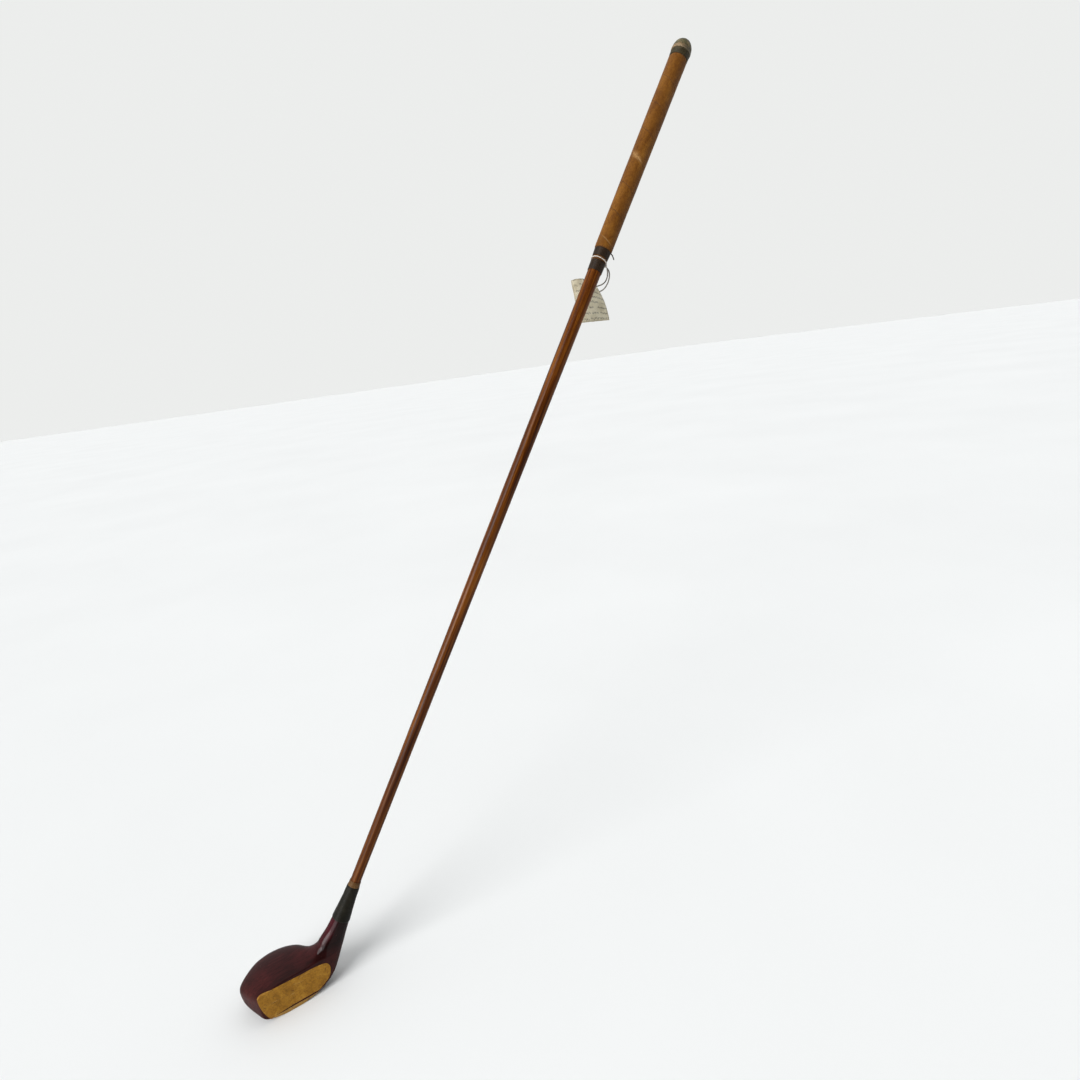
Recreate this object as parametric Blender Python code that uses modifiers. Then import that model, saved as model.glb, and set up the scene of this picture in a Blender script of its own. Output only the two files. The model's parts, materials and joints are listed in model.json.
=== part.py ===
"""Golf driver: a right-handed socket-head wooden driver on a hickory shaft.

Metres, +Z up. The club stands at address. The origin is the centre of the sole's flat, the face looks
along -Y, the toe points along -X and the shaft leans towards +X, in the plane of its lie. Pieces on the
shaft are turned about a line from the shaft's foot, and their heights are distances along that line. The
head's stations are measured from the same point.
"""

import math

import bmesh
import bpy
import numpy as np
from mathutils import Euler, Vector

# ---- driving dimensions -------------------------------------------------------------------------
GAP = 0.0003                      # left between neighbouring pieces
THIN_GAP = 0.0002                 # left between the layers wound on the shaft

LIE = math.radians(56.3)          # between the shaft and the ground
LOFT = math.radians(10.0)         # the face leans back by this much
SHAFT_FOOT = Vector((0.022, -0.009, 0.0025))   # on the shaft's axis, level with the face's lower edge
FACE_LEAD = 0.017                 # the face's foot is this far in front of the shaft's axis
TURNED_STEPS = 28                 # sides of a turned piece

SOCKET_BOTTOM = 0.038             # end of the blind bore in the head
SOCKET_TOP = 0.0940               # end of the neck's wood
SOCKET_FLOOR_RADIUS = 0.0040
SOCKET_MOUTH_RADIUS = 0.0056

WHIPPING_BOTTOM = 0.0662
WHIPPING_TOP = 0.1012
END_RING_TOP = 0.1066

SHAFT_TIP = 0.0385
SHAFT_BUTT = 1.0698
BAND_BOTTOM = 0.7988              # lower band of thread under the grip
BAND_TOP = 0.8106
UPPER_BAND_BOTTOM = 0.8152
UPPER_BAND_TOP = 0.8246
GRIP_BOTTOM = 0.8249              # full thickness of the leather starts here
GRIP_TOP = 1.0578
BUTT_WHIPPING_TOP = 1.0650
COLLAR_TOP = 1.0692
CAP_TIP = 1.0812
CAP_RADIUS = 0.0110

FACE_TOP = 0.034                  # the face plane cuts the head up to here, below the neck
INSERT_THICKNESS = 0.0035
INSERT_RIM = 0.0007               # width of the wood left around the insert
SLIP_DEPTH = 0.0105               # sole slip, front to back
SLIP_PEG_DEPTH = 0.0072           # its pegs, behind the face's foot
SLIP_HEIGHT = 0.0024
INSERT_FOOT = 0.0034              # height of the insert's lower edge above the ground
SLIP_TOE = -0.0460                # ends of the slip, from the shaft's foot
SLIP_HEEL = -0.0055

FACE_PEG_RADIUS = 0.0010
FACE_PEG_LENGTH = 0.0085
SLIP_PEG_RADIUS = 0.0013
SLIP_PEG_LENGTH = 0.0070
BRAD_RADIUS = 0.0006
BRAD_LENGTH = 0.0055
BRAD_OUT = 0.0081                 # its outer end, from the shaft's axis

STRING_RADIUS = 0.00060
STRING_HEIGHT = 0.8126            # the string's ring lies in the gap between the bands
STRING_RING_RADIUS = 0.0090
KNOT_RADIUS = 0.0015
TAG_THICKNESS = 0.0004
TAG_HOLE_RADIUS = 0.0016
TAG_HOLE = (0.7878, 0.0102, 0.0160)   # along the shaft, out from its under side, behind it
TAG_CURL_RADIUS = 0.090

# ---- colours ------------------------------------------------------------------------------------
CHERRY = (0.075, 0.012, 0.012)
TAN_FIBRE = (0.42, 0.22, 0.05)
HORN = (0.05, 0.03, 0.02)
LEAD = (0.20, 0.20, 0.21)
HICKORY = (0.27, 0.075, 0.014)
THREAD = (0.025, 0.022, 0.018)
PALE_THREAD = (0.36, 0.20, 0.09)
LEATHER = (0.26, 0.105, 0.025)
CLOTH = (0.30, 0.24, 0.16)
COLLAR = (0.33, 0.20, 0.09)
CAP = (0.12, 0.10, 0.055)
STEEL = (0.35, 0.34, 0.33)
COTTON = (0.62, 0.57, 0.50)
PAPER = (0.70, 0.66, 0.55)


# ---- scene helpers ------------------------------------------------------------------------------
def clear_scene():
    for thing in list(bpy.data.objects):
        bpy.data.objects.remove(thing, do_unlink=True)


def collection(name):
    group = bpy.data.collections.new(name)
    bpy.context.scene.collection.children.link(group)
    return group


def material(name, colour, roughness=0.5, metallic=0.0):
    mat = bpy.data.materials.new(name)
    mat.use_nodes = True
    shader = mat.node_tree.nodes["Principled BSDF"]
    shader.inputs["Base Color"].default_value = (*colour, 1.0)
    shader.inputs["Roughness"].default_value = roughness
    shader.inputs["Metallic"].default_value = metallic
    return mat


def add(name, data, group, mat=None, parent=None, location=(0, 0, 0), rotation=(0, 0, 0)):
    """Link an object that holds data, place it and give it its material."""
    thing = bpy.data.objects.new(name, data)
    group.objects.link(thing)
    thing.parent = parent
    thing.location = location
    thing.rotation_euler = rotation
    if mat is not None:
        data.materials.append(mat)
    return thing


def as_cutter(thing):
    thing.hide_render = True
    thing.display_type = "WIRE"
    return thing


def mesh_from(name, verts, faces, smooth_angle=math.radians(40)):
    mesh = bpy.data.meshes.new(name)
    mesh.from_pydata([tuple(v) for v in verts], [], faces)
    mesh.validate()
    mesh.shade_smooth()
    mesh.set_sharp_from_angle(angle=smooth_angle)
    return mesh


def boolean(thing, cutter, operation="DIFFERENCE"):
    mod = thing.modifiers.new(cutter.name, "BOOLEAN")
    mod.operation = operation
    mod.object = cutter
    mod.solver = "EXACT"


def box(name, low, high, group, **place):
    """A box cutter between two corners."""
    bm = bmesh.new()
    bmesh.ops.create_cube(bm, size=1.0)
    low = Vector(low)
    high = Vector(high)
    for vert in bm.verts:
        vert.co = Vector((low + high) / 2) + Vector(a * b for a, b in zip(vert.co, high - low))
    mesh = bpy.data.meshes.new(name)
    bm.to_mesh(mesh)
    bm.free()
    return as_cutter(add(name, mesh, group, **place))


def cylinder(name, radius, length, group, mat=None, sides=16, **place):
    """A cylinder that runs from its origin along its own -Z."""
    bm = bmesh.new()
    bmesh.ops.create_cone(bm, cap_ends=True, segments=sides, radius1=radius, radius2=radius, depth=length)
    bmesh.ops.translate(bm, verts=bm.verts, vec=(0, 0, -length / 2))
    mesh = bpy.data.meshes.new(name)
    bm.to_mesh(mesh)
    bm.free()
    mesh.shade_smooth()
    mesh.set_sharp_from_angle(angle=math.radians(40))
    return add(name, mesh, group, mat, **place)


def turned(name, profile, group, mat=None, parent=None, closed=False, steps=TURNED_STEPS):
    """A piece turned about the shaft line. The profile holds (radius, height) pairs and runs down its
    outer side; a closed profile makes a sleeve."""
    verts = [(radius, 0.0, height) for radius, height in profile]
    edges = [(i, i + 1) for i in range(len(verts) - 1)]
    if closed:
        edges.append((len(verts) - 1, 0))
    mesh = bpy.data.meshes.new(name)
    mesh.from_pydata(verts, edges, [])
    thing = add(name, mesh, group, mat, parent)
    screw = thing.modifiers.new("turn", "SCREW")
    screw.axis = "Z"
    screw.steps = steps
    screw.render_steps = steps
    screw.use_smooth_shade = True
    screw.use_merge_vertices = True
    screw.merge_threshold = 1e-5
    return thing


def sleeve(name, outer, wall_inner, group, mat, parent):
    """A turned sleeve from its outer and inner profiles, both given from top to bottom."""
    return turned(name, outer + wall_inner[::-1], group, mat, parent, closed=True)


# ---- shaft line ---------------------------------------------------------------------------------
SHAFT_TURN = Euler((0.0, math.pi / 2 - LIE, 0.0))
ALONG = Vector((math.cos(LIE), 0.0, math.sin(LIE)))
OUTWARD = Vector((math.sin(LIE), 0.0, -math.cos(LIE)))    # across the shaft, on its under side


def on_shaft(height, out=0.0, back=0.0):
    """A point given by its distance along the shaft, out from its under side and behind it."""
    return SHAFT_FOOT + ALONG * height + OUTWARD * out + Vector((0.0, back, 0.0))


def shaft_radius(height):
    """Radius of the bare shaft: a tapered tip in the socket, a slim lower half and a thicker butt."""
    heights = (SHAFT_TIP, SOCKET_TOP, 0.24, 0.42, 0.61, 0.79, SHAFT_BUTT)
    radii = (0.0037, 0.0054, 0.0057, 0.0063, 0.0070, 0.0076, 0.0083)
    return float(np.interp(height, heights, radii))


# ---- the head's form ----------------------------------------------------------------------------
def smooth_path(rows, steps):
    """Catmull-Rom curve through rows of any width, with steps spans between each pair."""
    rows = np.asarray(rows, dtype=float)
    padded = np.vstack([2 * rows[0] - rows[1], rows, 2 * rows[-1] - rows[-2]])
    out = []
    for i in range(1, len(padded) - 2):
        p0, p1, p2, p3 = padded[i - 1:i + 3]
        for k in range(steps):
            t = k / steps
            out.append(0.5 * (2 * p1 + (p2 - p0) * t + (2 * p0 - 5 * p1 + 4 * p2 - p3) * t ** 2
                              + (3 * p1 - p0 - 3 * p2 + p3) * t ** 3))
    out.append(rows[-1])
    return np.array(out)


def neck_station(height, upper, under, depth):
    """A station across the neck, with its reach on the upper and under side and its half depth."""
    middle = ALONG * height
    top = middle - OUTWARD * upper
    low = middle + OUTWARD * under
    return (top.x, top.z, low.x, low.z, -depth, depth, under / (upper + under), 1.0)


def head_stations():
    """Stations from toe to neck: crown x, z; sole x, z; front y; back y; height of the widest line as a
    share of the station; roundness, from 0 for the head's body to 1 for the neck."""
    mm = 0.001
    body = (
        (-68.6, 17.0, -68.4, 11.5, 14.0, 18.5, 0.60),
        (-67.4, 20.5, -66.8, 6.5, 9.0, 22.5, 0.62),
        (-64.5, 23.2, -63.6, 3.2, 2.0, 26.5, 0.66),
        (-60.0, 25.4, -59.0, 1.3, -7.5, 31.0, 0.68),
        (-54.0, 27.2, -53.5, -0.1, -18.0, 36.2, 0.68),
        (-46.0, 28.9, -46.0, -1.5, -22.5, 40.8, 0.66),
        (-33.5, 30.5, -33.5, -2.9, -26.5, 43.4, 0.63),
        (-20.0, 31.2, -20.0, -2.9, -27.0, 41.4, 0.61),
        (-8.5, 31.8, -7.0, -1.3, -24.0, 34.5, 0.58),
        (0.5, 33.0, 6.5, 1.2, -19.6, 22.0, 0.54),
        (8.3, 37.6, 19.5, 7.6, -14.2, 14.5, 0.48),
    )
    stations = []
    for i, row in enumerate(body):
        lengths = [v * mm for v in row[:6]]
        roundness = max(0.0, (i - 7) / 4.0)
        stations.append((*lengths, row[6], roundness))
    neck = (
        (42.5, 13.2, 11.6, 10.4),
        (53.0, 10.6, 10.3, 9.4),
        (65.0, 9.0, 9.0, 8.8),
        (77.0, 7.6, 7.6, 7.6),
        (86.0, 6.8, 6.8, 6.8),
        (SOCKET_TOP / mm, 6.3, 6.3, 6.3),
    )
    for row in neck:
        stations.append(neck_station(*(v * mm for v in row)))
    return stations


def station_ring(row, sides, inset):
    """Points around one station, with a domed crown and a flat sole. The front leans back by the loft."""
    top_x, top_z, low_x, low_z, front, back, widest, roundness = row
    top = Vector((top_x, 0.0, top_z))
    low = Vector((low_x, 0.0, low_z))
    centre = low.lerp(top, widest)
    up = top - centre
    down = low - centre
    up *= 1 - inset / up.length
    down *= 1 - inset / down.length
    half = (back - front) / 2 - inset
    middle = (back + front) / 2
    lean = math.tan(LOFT) * (1.0 - roundness)
    powers = {"crown_front": 2.6, "crown_back": 2.1, "sole_front": 6.0, "sole_back": 2.7}
    ring = []
    for k in range(sides):
        angle = 2 * math.pi * (k + 0.5) / sides
        across = math.cos(angle)
        rise = math.sin(angle)
        power = powers[("crown_" if rise >= 0 else "sole_") + ("front" if across < 0 else "back")]
        power += (2.0 - power) * roundness
        reach = (abs(across) ** power + abs(rise) ** power) ** (-1 / power)
        arm = up * rise if rise >= 0 else down * -rise
        point = centre + arm * reach
        point.y = middle + half * across * reach + max(0.0, -across * reach) * lean * point.z
        ring.append(point)
    return ring


def head_form(name, inset=0.0, sides=40, steps=3):
    """The head's outer form as a loft, drawn in by inset. Both ends are closed with a fan."""
    rows = smooth_path(head_stations(), steps)
    verts = []
    for row in rows:
        verts.extend(station_ring(row, sides, inset))
    faces = []
    for i in range(len(rows) - 1):
        for k in range(sides):
            a = i * sides + k
            b = i * sides + (k + 1) % sides
            faces.append((a, b, b + sides, a + sides))
    for end, flip in ((0, False), (len(rows) - 1, True)):
        ring = [end * sides + k for k in range(sides)]
        tip = len(verts)
        verts.append(sum((verts[i] for i in ring), Vector()) / sides)
        for k in range(sides):
            pair = (ring[k], ring[(k + 1) % sides])
            faces.append((tip, *pair) if flip else (tip, *reversed(pair)))
    mesh = mesh_from(name, verts, faces)
    bm = bmesh.new()
    bm.from_mesh(mesh)
    bmesh.ops.recalc_face_normals(bm, faces=bm.faces)
    bm.to_mesh(mesh)
    bm.free()
    return mesh


def face_frame():
    """Place of the face plane: its local X runs along the face, Z up the face and -Y out of it."""
    return {"location": SHAFT_FOOT + Vector((0.0, -FACE_LEAD, 0.0)), "rotation": (-LOFT, 0.0, 0.0)}


def face_block(name, near, far, low, high, group):
    """A cutter between two planes parallel to the face and two heights above the shaft's foot."""
    wide = 0.2
    verts = []
    for x in (-wide, wide):
        for depth in (near, far):
            for z in (low, high):
                verts.append((x, depth / math.cos(LOFT) + z * math.tan(LOFT), z))
    mesh = bpy.data.meshes.new(name)
    mesh.from_pydata(verts, [], [(0, 1, 3, 2), (4, 6, 7, 5), (0, 4, 5, 1), (2, 3, 7, 6), (0, 2, 6, 4), (1, 5, 7, 3)])
    return as_cutter(add(name, mesh, group, location=face_frame()["location"]))


def make_head(parts, cutters):
    """The wooden head with its pockets, and the pieces that are shaped with it."""
    head = add("head", head_form("head"), parts, material("cherry_varnish", CHERRY, 0.18),
               location=SHAFT_FOOT)
    wide = 0.2
    ahead = face_block("ahead_of_face", -wide, 0.0, -wide, FACE_TOP, cutters)
    below = box("below_sole", (-wide, -wide, -wide), (wide, wide, 0), cutters)
    socket = turned("socket_bore", [(0.0, SOCKET_TOP + 0.02), (SOCKET_MOUTH_RADIUS + 0.0004, SOCKET_TOP + 0.02),
                                    (SOCKET_MOUTH_RADIUS, SOCKET_TOP), (SOCKET_FLOOR_RADIUS, SOCKET_BOTTOM),
                                    (0.0, SOCKET_BOTTOM)], cutters, parent=shaft_line(cutters))
    as_cutter(socket)
    boolean(head, ahead)
    boolean(head, below)
    boolean(head, socket)

    # The face insert fills a pocket whose outline follows the head's own.
    insert = add("face_insert", head_form("face_insert", INSERT_RIM + GAP), parts,
                 material("tan_fibre", TAN_FIBRE, 0.7), location=SHAFT_FOOT)
    pocket = as_cutter(add("insert_pocket", head_form("insert_pocket", INSERT_RIM), cutters,
                           location=SHAFT_FOOT))
    deep = INSERT_THICKNESS
    foot_height = INSERT_FOOT - SHAFT_FOOT.z
    room = face_block("insert_room", -0.001, deep, foot_height - GAP, FACE_TOP, cutters)
    slab = face_block("insert_slab", 0.0, deep - GAP, foot_height, FACE_TOP - GAP, cutters)
    boolean(pocket, room, "INTERSECT")
    boolean(insert, slab, "INTERSECT")
    boolean(head, pocket)

    # The sole slip is let into the leading edge.
    slip = add("sole_slip", head_form("sole_slip"), parts, material("dark_horn", HORN, 0.35),
               location=SHAFT_FOOT)
    foot = face_frame()["location"]
    slip_low = Vector((foot.x + SLIP_TOE, foot.y - 0.01, 0.0))
    slip_high = Vector((foot.x + SLIP_HEEL, foot.y + SLIP_DEPTH, SLIP_HEIGHT))
    slip_block = box("slip_block", slip_low, slip_high, cutters)
    slip_room = box("slip_room", slip_low - Vector((GAP, 0, 0.01)), slip_high + Vector((GAP, GAP, GAP)), cutters)
    boolean(slip, slip_block, "INTERSECT")
    boolean(slip, ahead)
    boolean(head, slip_room)

    # The lead weight fills a pocket in the back.
    weight = add("back_weight", head_form("back_weight"), parts, material("lead", LEAD, 0.55, 1.0),
                 location=SHAFT_FOOT)
    low = Vector((-0.043, 0.030, 0.0040)) + SHAFT_FOOT
    high = Vector((-0.014, 0.060, 0.0160)) + SHAFT_FOOT
    grow = Vector((GAP, GAP, GAP))
    boolean(weight, box("weight_block", low, high, cutters), "INTERSECT")
    boolean(head, box("weight_room", low - grow, high + grow, cutters))
    make_pegs(head, insert, slip, parts, cutters)
    return head


def make_pegs(head, insert, slip, parts, cutters):
    """Pegs through the face insert and the sole slip, each in a hole of its own."""
    places = {
        "toe_upper": (-0.0475, 0.0195), "toe_lower": (-0.0440, 0.0075),
        "heel_upper": (0.0060, 0.0195), "heel_lower": (0.0005, 0.0100),
    }
    frame = face_frame()
    turn = Euler(frame["rotation"]).to_matrix()
    into_face = (turn @ Vector((0, -1, 0))).to_track_quat("Z", "Y").to_euler()
    for name, (along_face, up_face) in places.items():
        start = frame["location"] + turn @ Vector((along_face, 0.0, up_face))
        mat = material(f"face_peg_{name}", TAN_FIBRE, 0.6)
        cylinder(f"face_peg_{name}", FACE_PEG_RADIUS, FACE_PEG_LENGTH, parts, mat, 12,
                 location=start, rotation=into_face)
        proud = start + turn @ Vector((0.0, -0.001, 0.0))
        hole = as_cutter(cylinder(f"face_peg_hole_{name}", FACE_PEG_RADIUS + GAP,
                                  FACE_PEG_LENGTH + 0.001 + GAP, cutters, None, 12,
                                  location=proud, rotation=into_face))
        boolean(insert, hole)
        boolean(head, hole)
    for number, along in enumerate((-0.034, -0.0265, -0.019), start=1):
        start = SHAFT_FOOT + Vector((along, SLIP_PEG_DEPTH - FACE_LEAD, -SHAFT_FOOT.z))
        mat = material(f"sole_slip_peg_{number}", TAN_FIBRE, 0.6)
        upward = (math.pi, 0.0, 0.0)
        cylinder(f"sole_slip_peg_{number}", SLIP_PEG_RADIUS, SLIP_PEG_LENGTH, parts, mat, 12,
                 location=start, rotation=upward)
        hole = as_cutter(cylinder(f"sole_slip_peg_hole_{number}", SLIP_PEG_RADIUS + GAP,
                                  SLIP_PEG_LENGTH + 0.001 + GAP, cutters, None, 12,
                                  location=start - Vector((0, 0, 0.001)), rotation=upward))
        boolean(slip, hole)
        boolean(head, hole)


# ---- shaft and windings -------------------------------------------------------------------------
def shaft_line(group):
    """An empty at the shaft's foot whose Z runs up the shaft."""
    name = "shaft_line"
    line = bpy.data.objects.get(name)
    if line is None:
        line = bpy.data.objects.new(name, None)
        group.objects.link(line)
        line.location = SHAFT_FOOT
        line.rotation_euler = SHAFT_TURN
    return line


def make_shaft(parts, line):
    heights = (SHAFT_BUTT, 0.95, 0.79, 0.61, 0.42, 0.24, 0.12, SOCKET_TOP, 0.066, SHAFT_TIP + 0.001)
    profile = [(0.0, SHAFT_BUTT + 0.0004)]
    profile += [(shaft_radius(h), h) for h in heights]
    profile += [(shaft_radius(SHAFT_TIP) - 0.0007, SHAFT_TIP), (0.0, SHAFT_TIP)]
    return turned("shaft", profile, parts, material("hickory", HICKORY, 0.25), line)


def make_neck_whipping(parts, line):
    top = WHIPPING_TOP
    outer = [(0.0064, top), (0.0067, top - 0.001), (0.0071, 0.0900), (0.0083, 0.0770), (0.0094, 0.0672),
             (0.0092, WHIPPING_BOTTOM)]
    bare = shaft_radius(SOCKET_TOP) + THIN_GAP
    inner = [(bare, top), (bare, SOCKET_TOP + GAP), (0.0063 + THIN_GAP, SOCKET_TOP + THIN_GAP),
             (0.0068 + THIN_GAP, 0.0860), (0.0077 + THIN_GAP, 0.0770), (0.0090, WHIPPING_BOTTOM)]
    sleeve("neck_whipping", outer, inner, parts, material("dark_thread", THREAD, 0.4), line)
    ring_top = END_RING_TOP
    ring_bottom = top + THIN_GAP
    sleeve("whipping_end_ring", [(0.0059, ring_top), (0.0063, ring_bottom)],
           [(bare, ring_top), (bare, ring_bottom)], parts, material("pale_thread", PALE_THREAD, 0.6), line)


def make_band(name, bottom, top, bottom_radius, top_radius, wall, parts, line):
    """A band of thread turns, with its ends rounded over."""
    soft = 0.0004
    outer = [(top_radius - soft, top), (top_radius, top - soft), (bottom_radius, bottom + soft),
             (bottom_radius - soft, bottom)]
    inner = [(top_radius - wall, top), (bottom_radius - wall, bottom)]
    return sleeve(name, outer, inner, parts, material(name, THREAD, 0.5), line)


def make_grip(parts, cutters, line):
    """Cloth, leather, bands and butt. The leather is skived thin at its lower end, which passes under
    the upper band and shows in the gap between the bands."""
    skived_bottom = BAND_TOP + GAP
    listing_bottom = GRIP_BOTTOM + 0.003
    listing_top = GRIP_TOP - 0.001
    step = 0.0008

    def cloth(height):
        return shaft_radius(height) + THIN_GAP + step

    sleeve("grip_underlisting", [(cloth(listing_top), listing_top), (cloth(listing_bottom), listing_bottom)],
           [(cloth(listing_top) - step, listing_top), (cloth(listing_bottom) - step, listing_bottom)],
           parts, material("cloth_strip", CLOTH, 0.9), line)

    skin = shaft_radius(skived_bottom) + THIN_GAP
    under = THIN_GAP + cloth(listing_bottom)
    leather = sleeve(
        "grip_leather",
        [(0.0101, GRIP_TOP), (0.0105, GRIP_TOP - 0.001), (0.0103, 0.95), (0.0098, GRIP_BOTTOM + 0.001),
         (0.0095, GRIP_BOTTOM), (0.0082, GRIP_BOTTOM - 0.0002), (0.0082, skived_bottom)],
        [(cloth(listing_top) + THIN_GAP, GRIP_TOP), (under, listing_bottom - 0.0006),
         (skin + 0.0001, listing_bottom - 0.0012), (skin, skived_bottom)],
        parts, material("tan_leather", LEATHER, 0.6), line)

    make_band("grip_band_lower", BAND_BOTTOM, BAND_TOP, 0.0082, 0.0084, 0.0005, parts, line)
    make_band("grip_band_upper", UPPER_BAND_BOTTOM, UPPER_BAND_TOP - 0.0002, 0.0089, 0.0093, 0.0005, parts, line)
    make_band("butt_whipping", GRIP_TOP + GAP, BUTT_WHIPPING_TOP, 0.0107, 0.0109, 0.0008, parts, line)
    ring_bottom = BUTT_WHIPPING_TOP + THIN_GAP
    sleeve("butt_collar", [(0.0110, COLLAR_TOP), (0.0113, COLLAR_TOP - 0.0012), (0.0110, ring_bottom)],
           [(0.0099, COLLAR_TOP), (0.0099, ring_bottom)], parts, material("collar_leather", COLLAR, 0.7), line)

    # The cap is a dome with a skirt that goes down over the end of the shaft, under the whipping.
    dome_bottom = COLLAR_TOP + THIN_GAP
    rise = CAP_TIP - dome_bottom
    dome = [(CAP_RADIUS * math.sin(a), dome_bottom + rise * math.cos(a))
            for a in np.linspace(0.0, math.pi / 2, 7)]
    dome[0] = (0.0, CAP_TIP)
    skirt_bottom = GRIP_TOP + 0.0006
    skirt_radius = 0.0096
    inner = shaft_radius(SHAFT_BUTT) + THIN_GAP
    cap = dome + [(skirt_radius, dome_bottom - 0.00005), (skirt_radius, skirt_bottom), (inner, skirt_bottom),
                  (inner, SHAFT_BUTT + 0.0007), (0.0, SHAFT_BUTT + 0.0007)]
    turned("butt_cap", cap, parts, material("cap", CAP, 0.65), line)
    return leather


def make_brad(parts, cutters, pieces):
    """A headless brad that holds the lower end of the leather, hidden under the upper band."""
    start = on_shaft((UPPER_BAND_BOTTOM + UPPER_BAND_TOP) / 2, back=BRAD_OUT)
    inward = Vector((0, 1, 0)).to_track_quat("Z", "Y").to_euler()
    cylinder("grip_brad", BRAD_RADIUS, BRAD_LENGTH, parts, material("brad_steel", STEEL, 0.4, 1.0), 10,
             location=start, rotation=inward)
    hole = as_cutter(cylinder("brad_hole", BRAD_RADIUS + GAP, BRAD_LENGTH + 0.001 + GAP, cutters, None, 10,
                              location=start + Vector((0, 0.001, 0)), rotation=inward))
    for piece in pieces:
        boolean(piece, hole)


# ---- tag and string -----------------------------------------------------------------------------
def tube(name, points, radius, group, mat, spacing, closed=False):
    """A curve object with filled caps along a smooth line through the points."""
    path = smooth_path([tuple(p) for p in points], 12)
    gone = np.concatenate([[0.0], np.cumsum(np.linalg.norm(np.diff(path, axis=0), axis=1))])
    count = max(4, int(round(gone[-1] / spacing)) + 1)
    at = np.linspace(0.0, gone[-1], count)
    line = np.column_stack([np.interp(at, gone, path[:, k]) for k in range(3)])
    curve = bpy.data.curves.new(name, "CURVE")
    curve.dimensions = "3D"
    curve.bevel_depth = radius
    curve.bevel_resolution = 2
    curve.use_fill_caps = True
    spline = curve.splines.new("POLY")
    spline.points.add(len(line) - 1)
    for point, co in zip(spline.points, line):
        point.co = (*co, 1.0)
    return add(name, curve, group, mat)


def tag_hole():
    """Centre of the tag's hole."""
    return on_shaft(*TAG_HOLE)


def string_route():
    """The hanging loop: from the knot, through the tag's hole and back, as distances along the shaft,
    out from it and behind it."""
    mm = 0.001
    front = ((811.4, 12.6, -0.5), (809.6, 14.8, 0.4), (807.2, 17.2, 1.6), (804.3, 19.4, 3.5),
             (800.7, 20.6, 6.5), (797.4, 19.6, 9.5), (793.8, 16.2, 12.0), (790.2, 12.4, 13.7),
             (788.0, 10.4, 15.2))
    behind = ((788.0, 10.5, 17.0), (789.4, 13.6, 18.8), (791.4, 19.0, 19.9), (793.8, 25.2, 19.9),
              (797.8, 28.6, 18.0), (802.4, 28.6, 14.3), (806.6, 26.3, 10.0), (810.2, 22.6, 6.2),
              (812.2, 17.8, 3.2), (812.4, 13.4, 1.4))
    return [on_shaft(*(v * mm for v in row)) for row in front + behind]


def make_string(parts):
    """The ring of string round the shaft, the knot on its under side and the loop that hangs from it."""
    cotton = material("cotton", COTTON, 0.8)
    knot_at = on_shaft(STRING_HEIGHT, STRING_RING_RADIUS + 0.0010)
    bm = bmesh.new()
    bmesh.ops.create_uvsphere(bm, u_segments=14, v_segments=8, radius=KNOT_RADIUS)
    mesh = bpy.data.meshes.new("string_knot")
    bm.to_mesh(mesh)
    bm.free()
    mesh.shade_smooth()
    add("string_knot", mesh, parts, cotton, location=knot_at)

    clear = (KNOT_RADIUS + GAP) / STRING_RING_RADIUS
    turns = np.linspace(clear, 2 * math.pi - clear, 33)
    ring = [on_shaft(STRING_HEIGHT, STRING_RING_RADIUS * math.cos(a), STRING_RING_RADIUS * math.sin(a))
            for a in turns]
    tube("string_ring", ring, STRING_RADIUS, parts, material("cotton_ring", COTTON, 0.8), 0.0020)
    tube("tag_string", string_route(), STRING_RADIUS, parts, material("cotton_loop", COTTON, 0.8), 0.0014)


def make_tag(parts, cutters):
    """A curled paper tag, punched near its top edge. Its mesh is in its own upright plane, with the hole
    at the origin, so that it swings about the hole."""
    top_left = Vector((-0.0214, 0.0, 0.0103))
    top_right = Vector((0.0118, 0.0, 0.0015))
    low_left = Vector((-0.0165, 0.0, -0.0351))
    low_right = Vector((0.0273, 0.0, -0.0352))
    arch = 0.0048                 # rise of the top edge between its corners
    bulge = 0.0030                # of the right edge
    across = 12
    down = 14
    verts = []
    for row in range(down + 1):
        v = row / down
        for col in range(across + 1):
            u = col / across
            point = top_left.lerp(top_right, u).lerp(low_left.lerp(low_right, u), v)
            point.z += arch * 4 * u * (1 - u) * (1 - v)
            point.x += bulge * 4 * v * (1 - v) * u
            point.y = point.x ** 2 / (2 * TAG_CURL_RADIUS)
            verts.append(point)
    faces = []
    for row in range(down):
        for col in range(across):
            a = row * (across + 1) + col
            faces.append((a, a + across + 1, a + across + 2, a + 1))
    mesh = mesh_from("paper_tag", verts, faces)
    tag = add("paper_tag", mesh, parts, material("paper", PAPER, 0.85), location=tag_hole())
    thick = tag.modifiers.new("paper", "SOLIDIFY")
    thick.thickness = TAG_THICKNESS
    thick.offset = 0.0
    hole = as_cutter(cylinder("tag_hole_cutter", TAG_HOLE_RADIUS, 0.02, cutters, None, 14,
                              location=tag_hole() + Vector((0, -0.01, 0)), rotation=(math.pi / 2, 0, 0)))
    boolean(tag, hole)


def main():
    clear_scene()
    parts = collection("golf_driver")
    cutters = collection("cutters")
    line = shaft_line(parts)
    make_head(parts, cutters)
    shaft = make_shaft(parts, line)
    make_neck_whipping(parts, line)
    leather = make_grip(parts, cutters, line)
    make_brad(parts, cutters, (shaft, leather))
    make_string(parts)
    make_tag(parts, cutters)


main()
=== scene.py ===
"""The looks of the golf driver: wooden head with a tan face, thread windings, hickory shaft, wound leather
grip, and a paper tag on a cotton string.

Pieces on the shaft are made in shaft space: X points out from the shaft's under side, Y behind it and Z up
along it. The head's stations are measured from the shaft's foot. Lengths are in metres."""

import itertools
import json
import math

import bmesh
import bpy
import numpy as np
from mathutils import Matrix, Vector, noise


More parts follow.
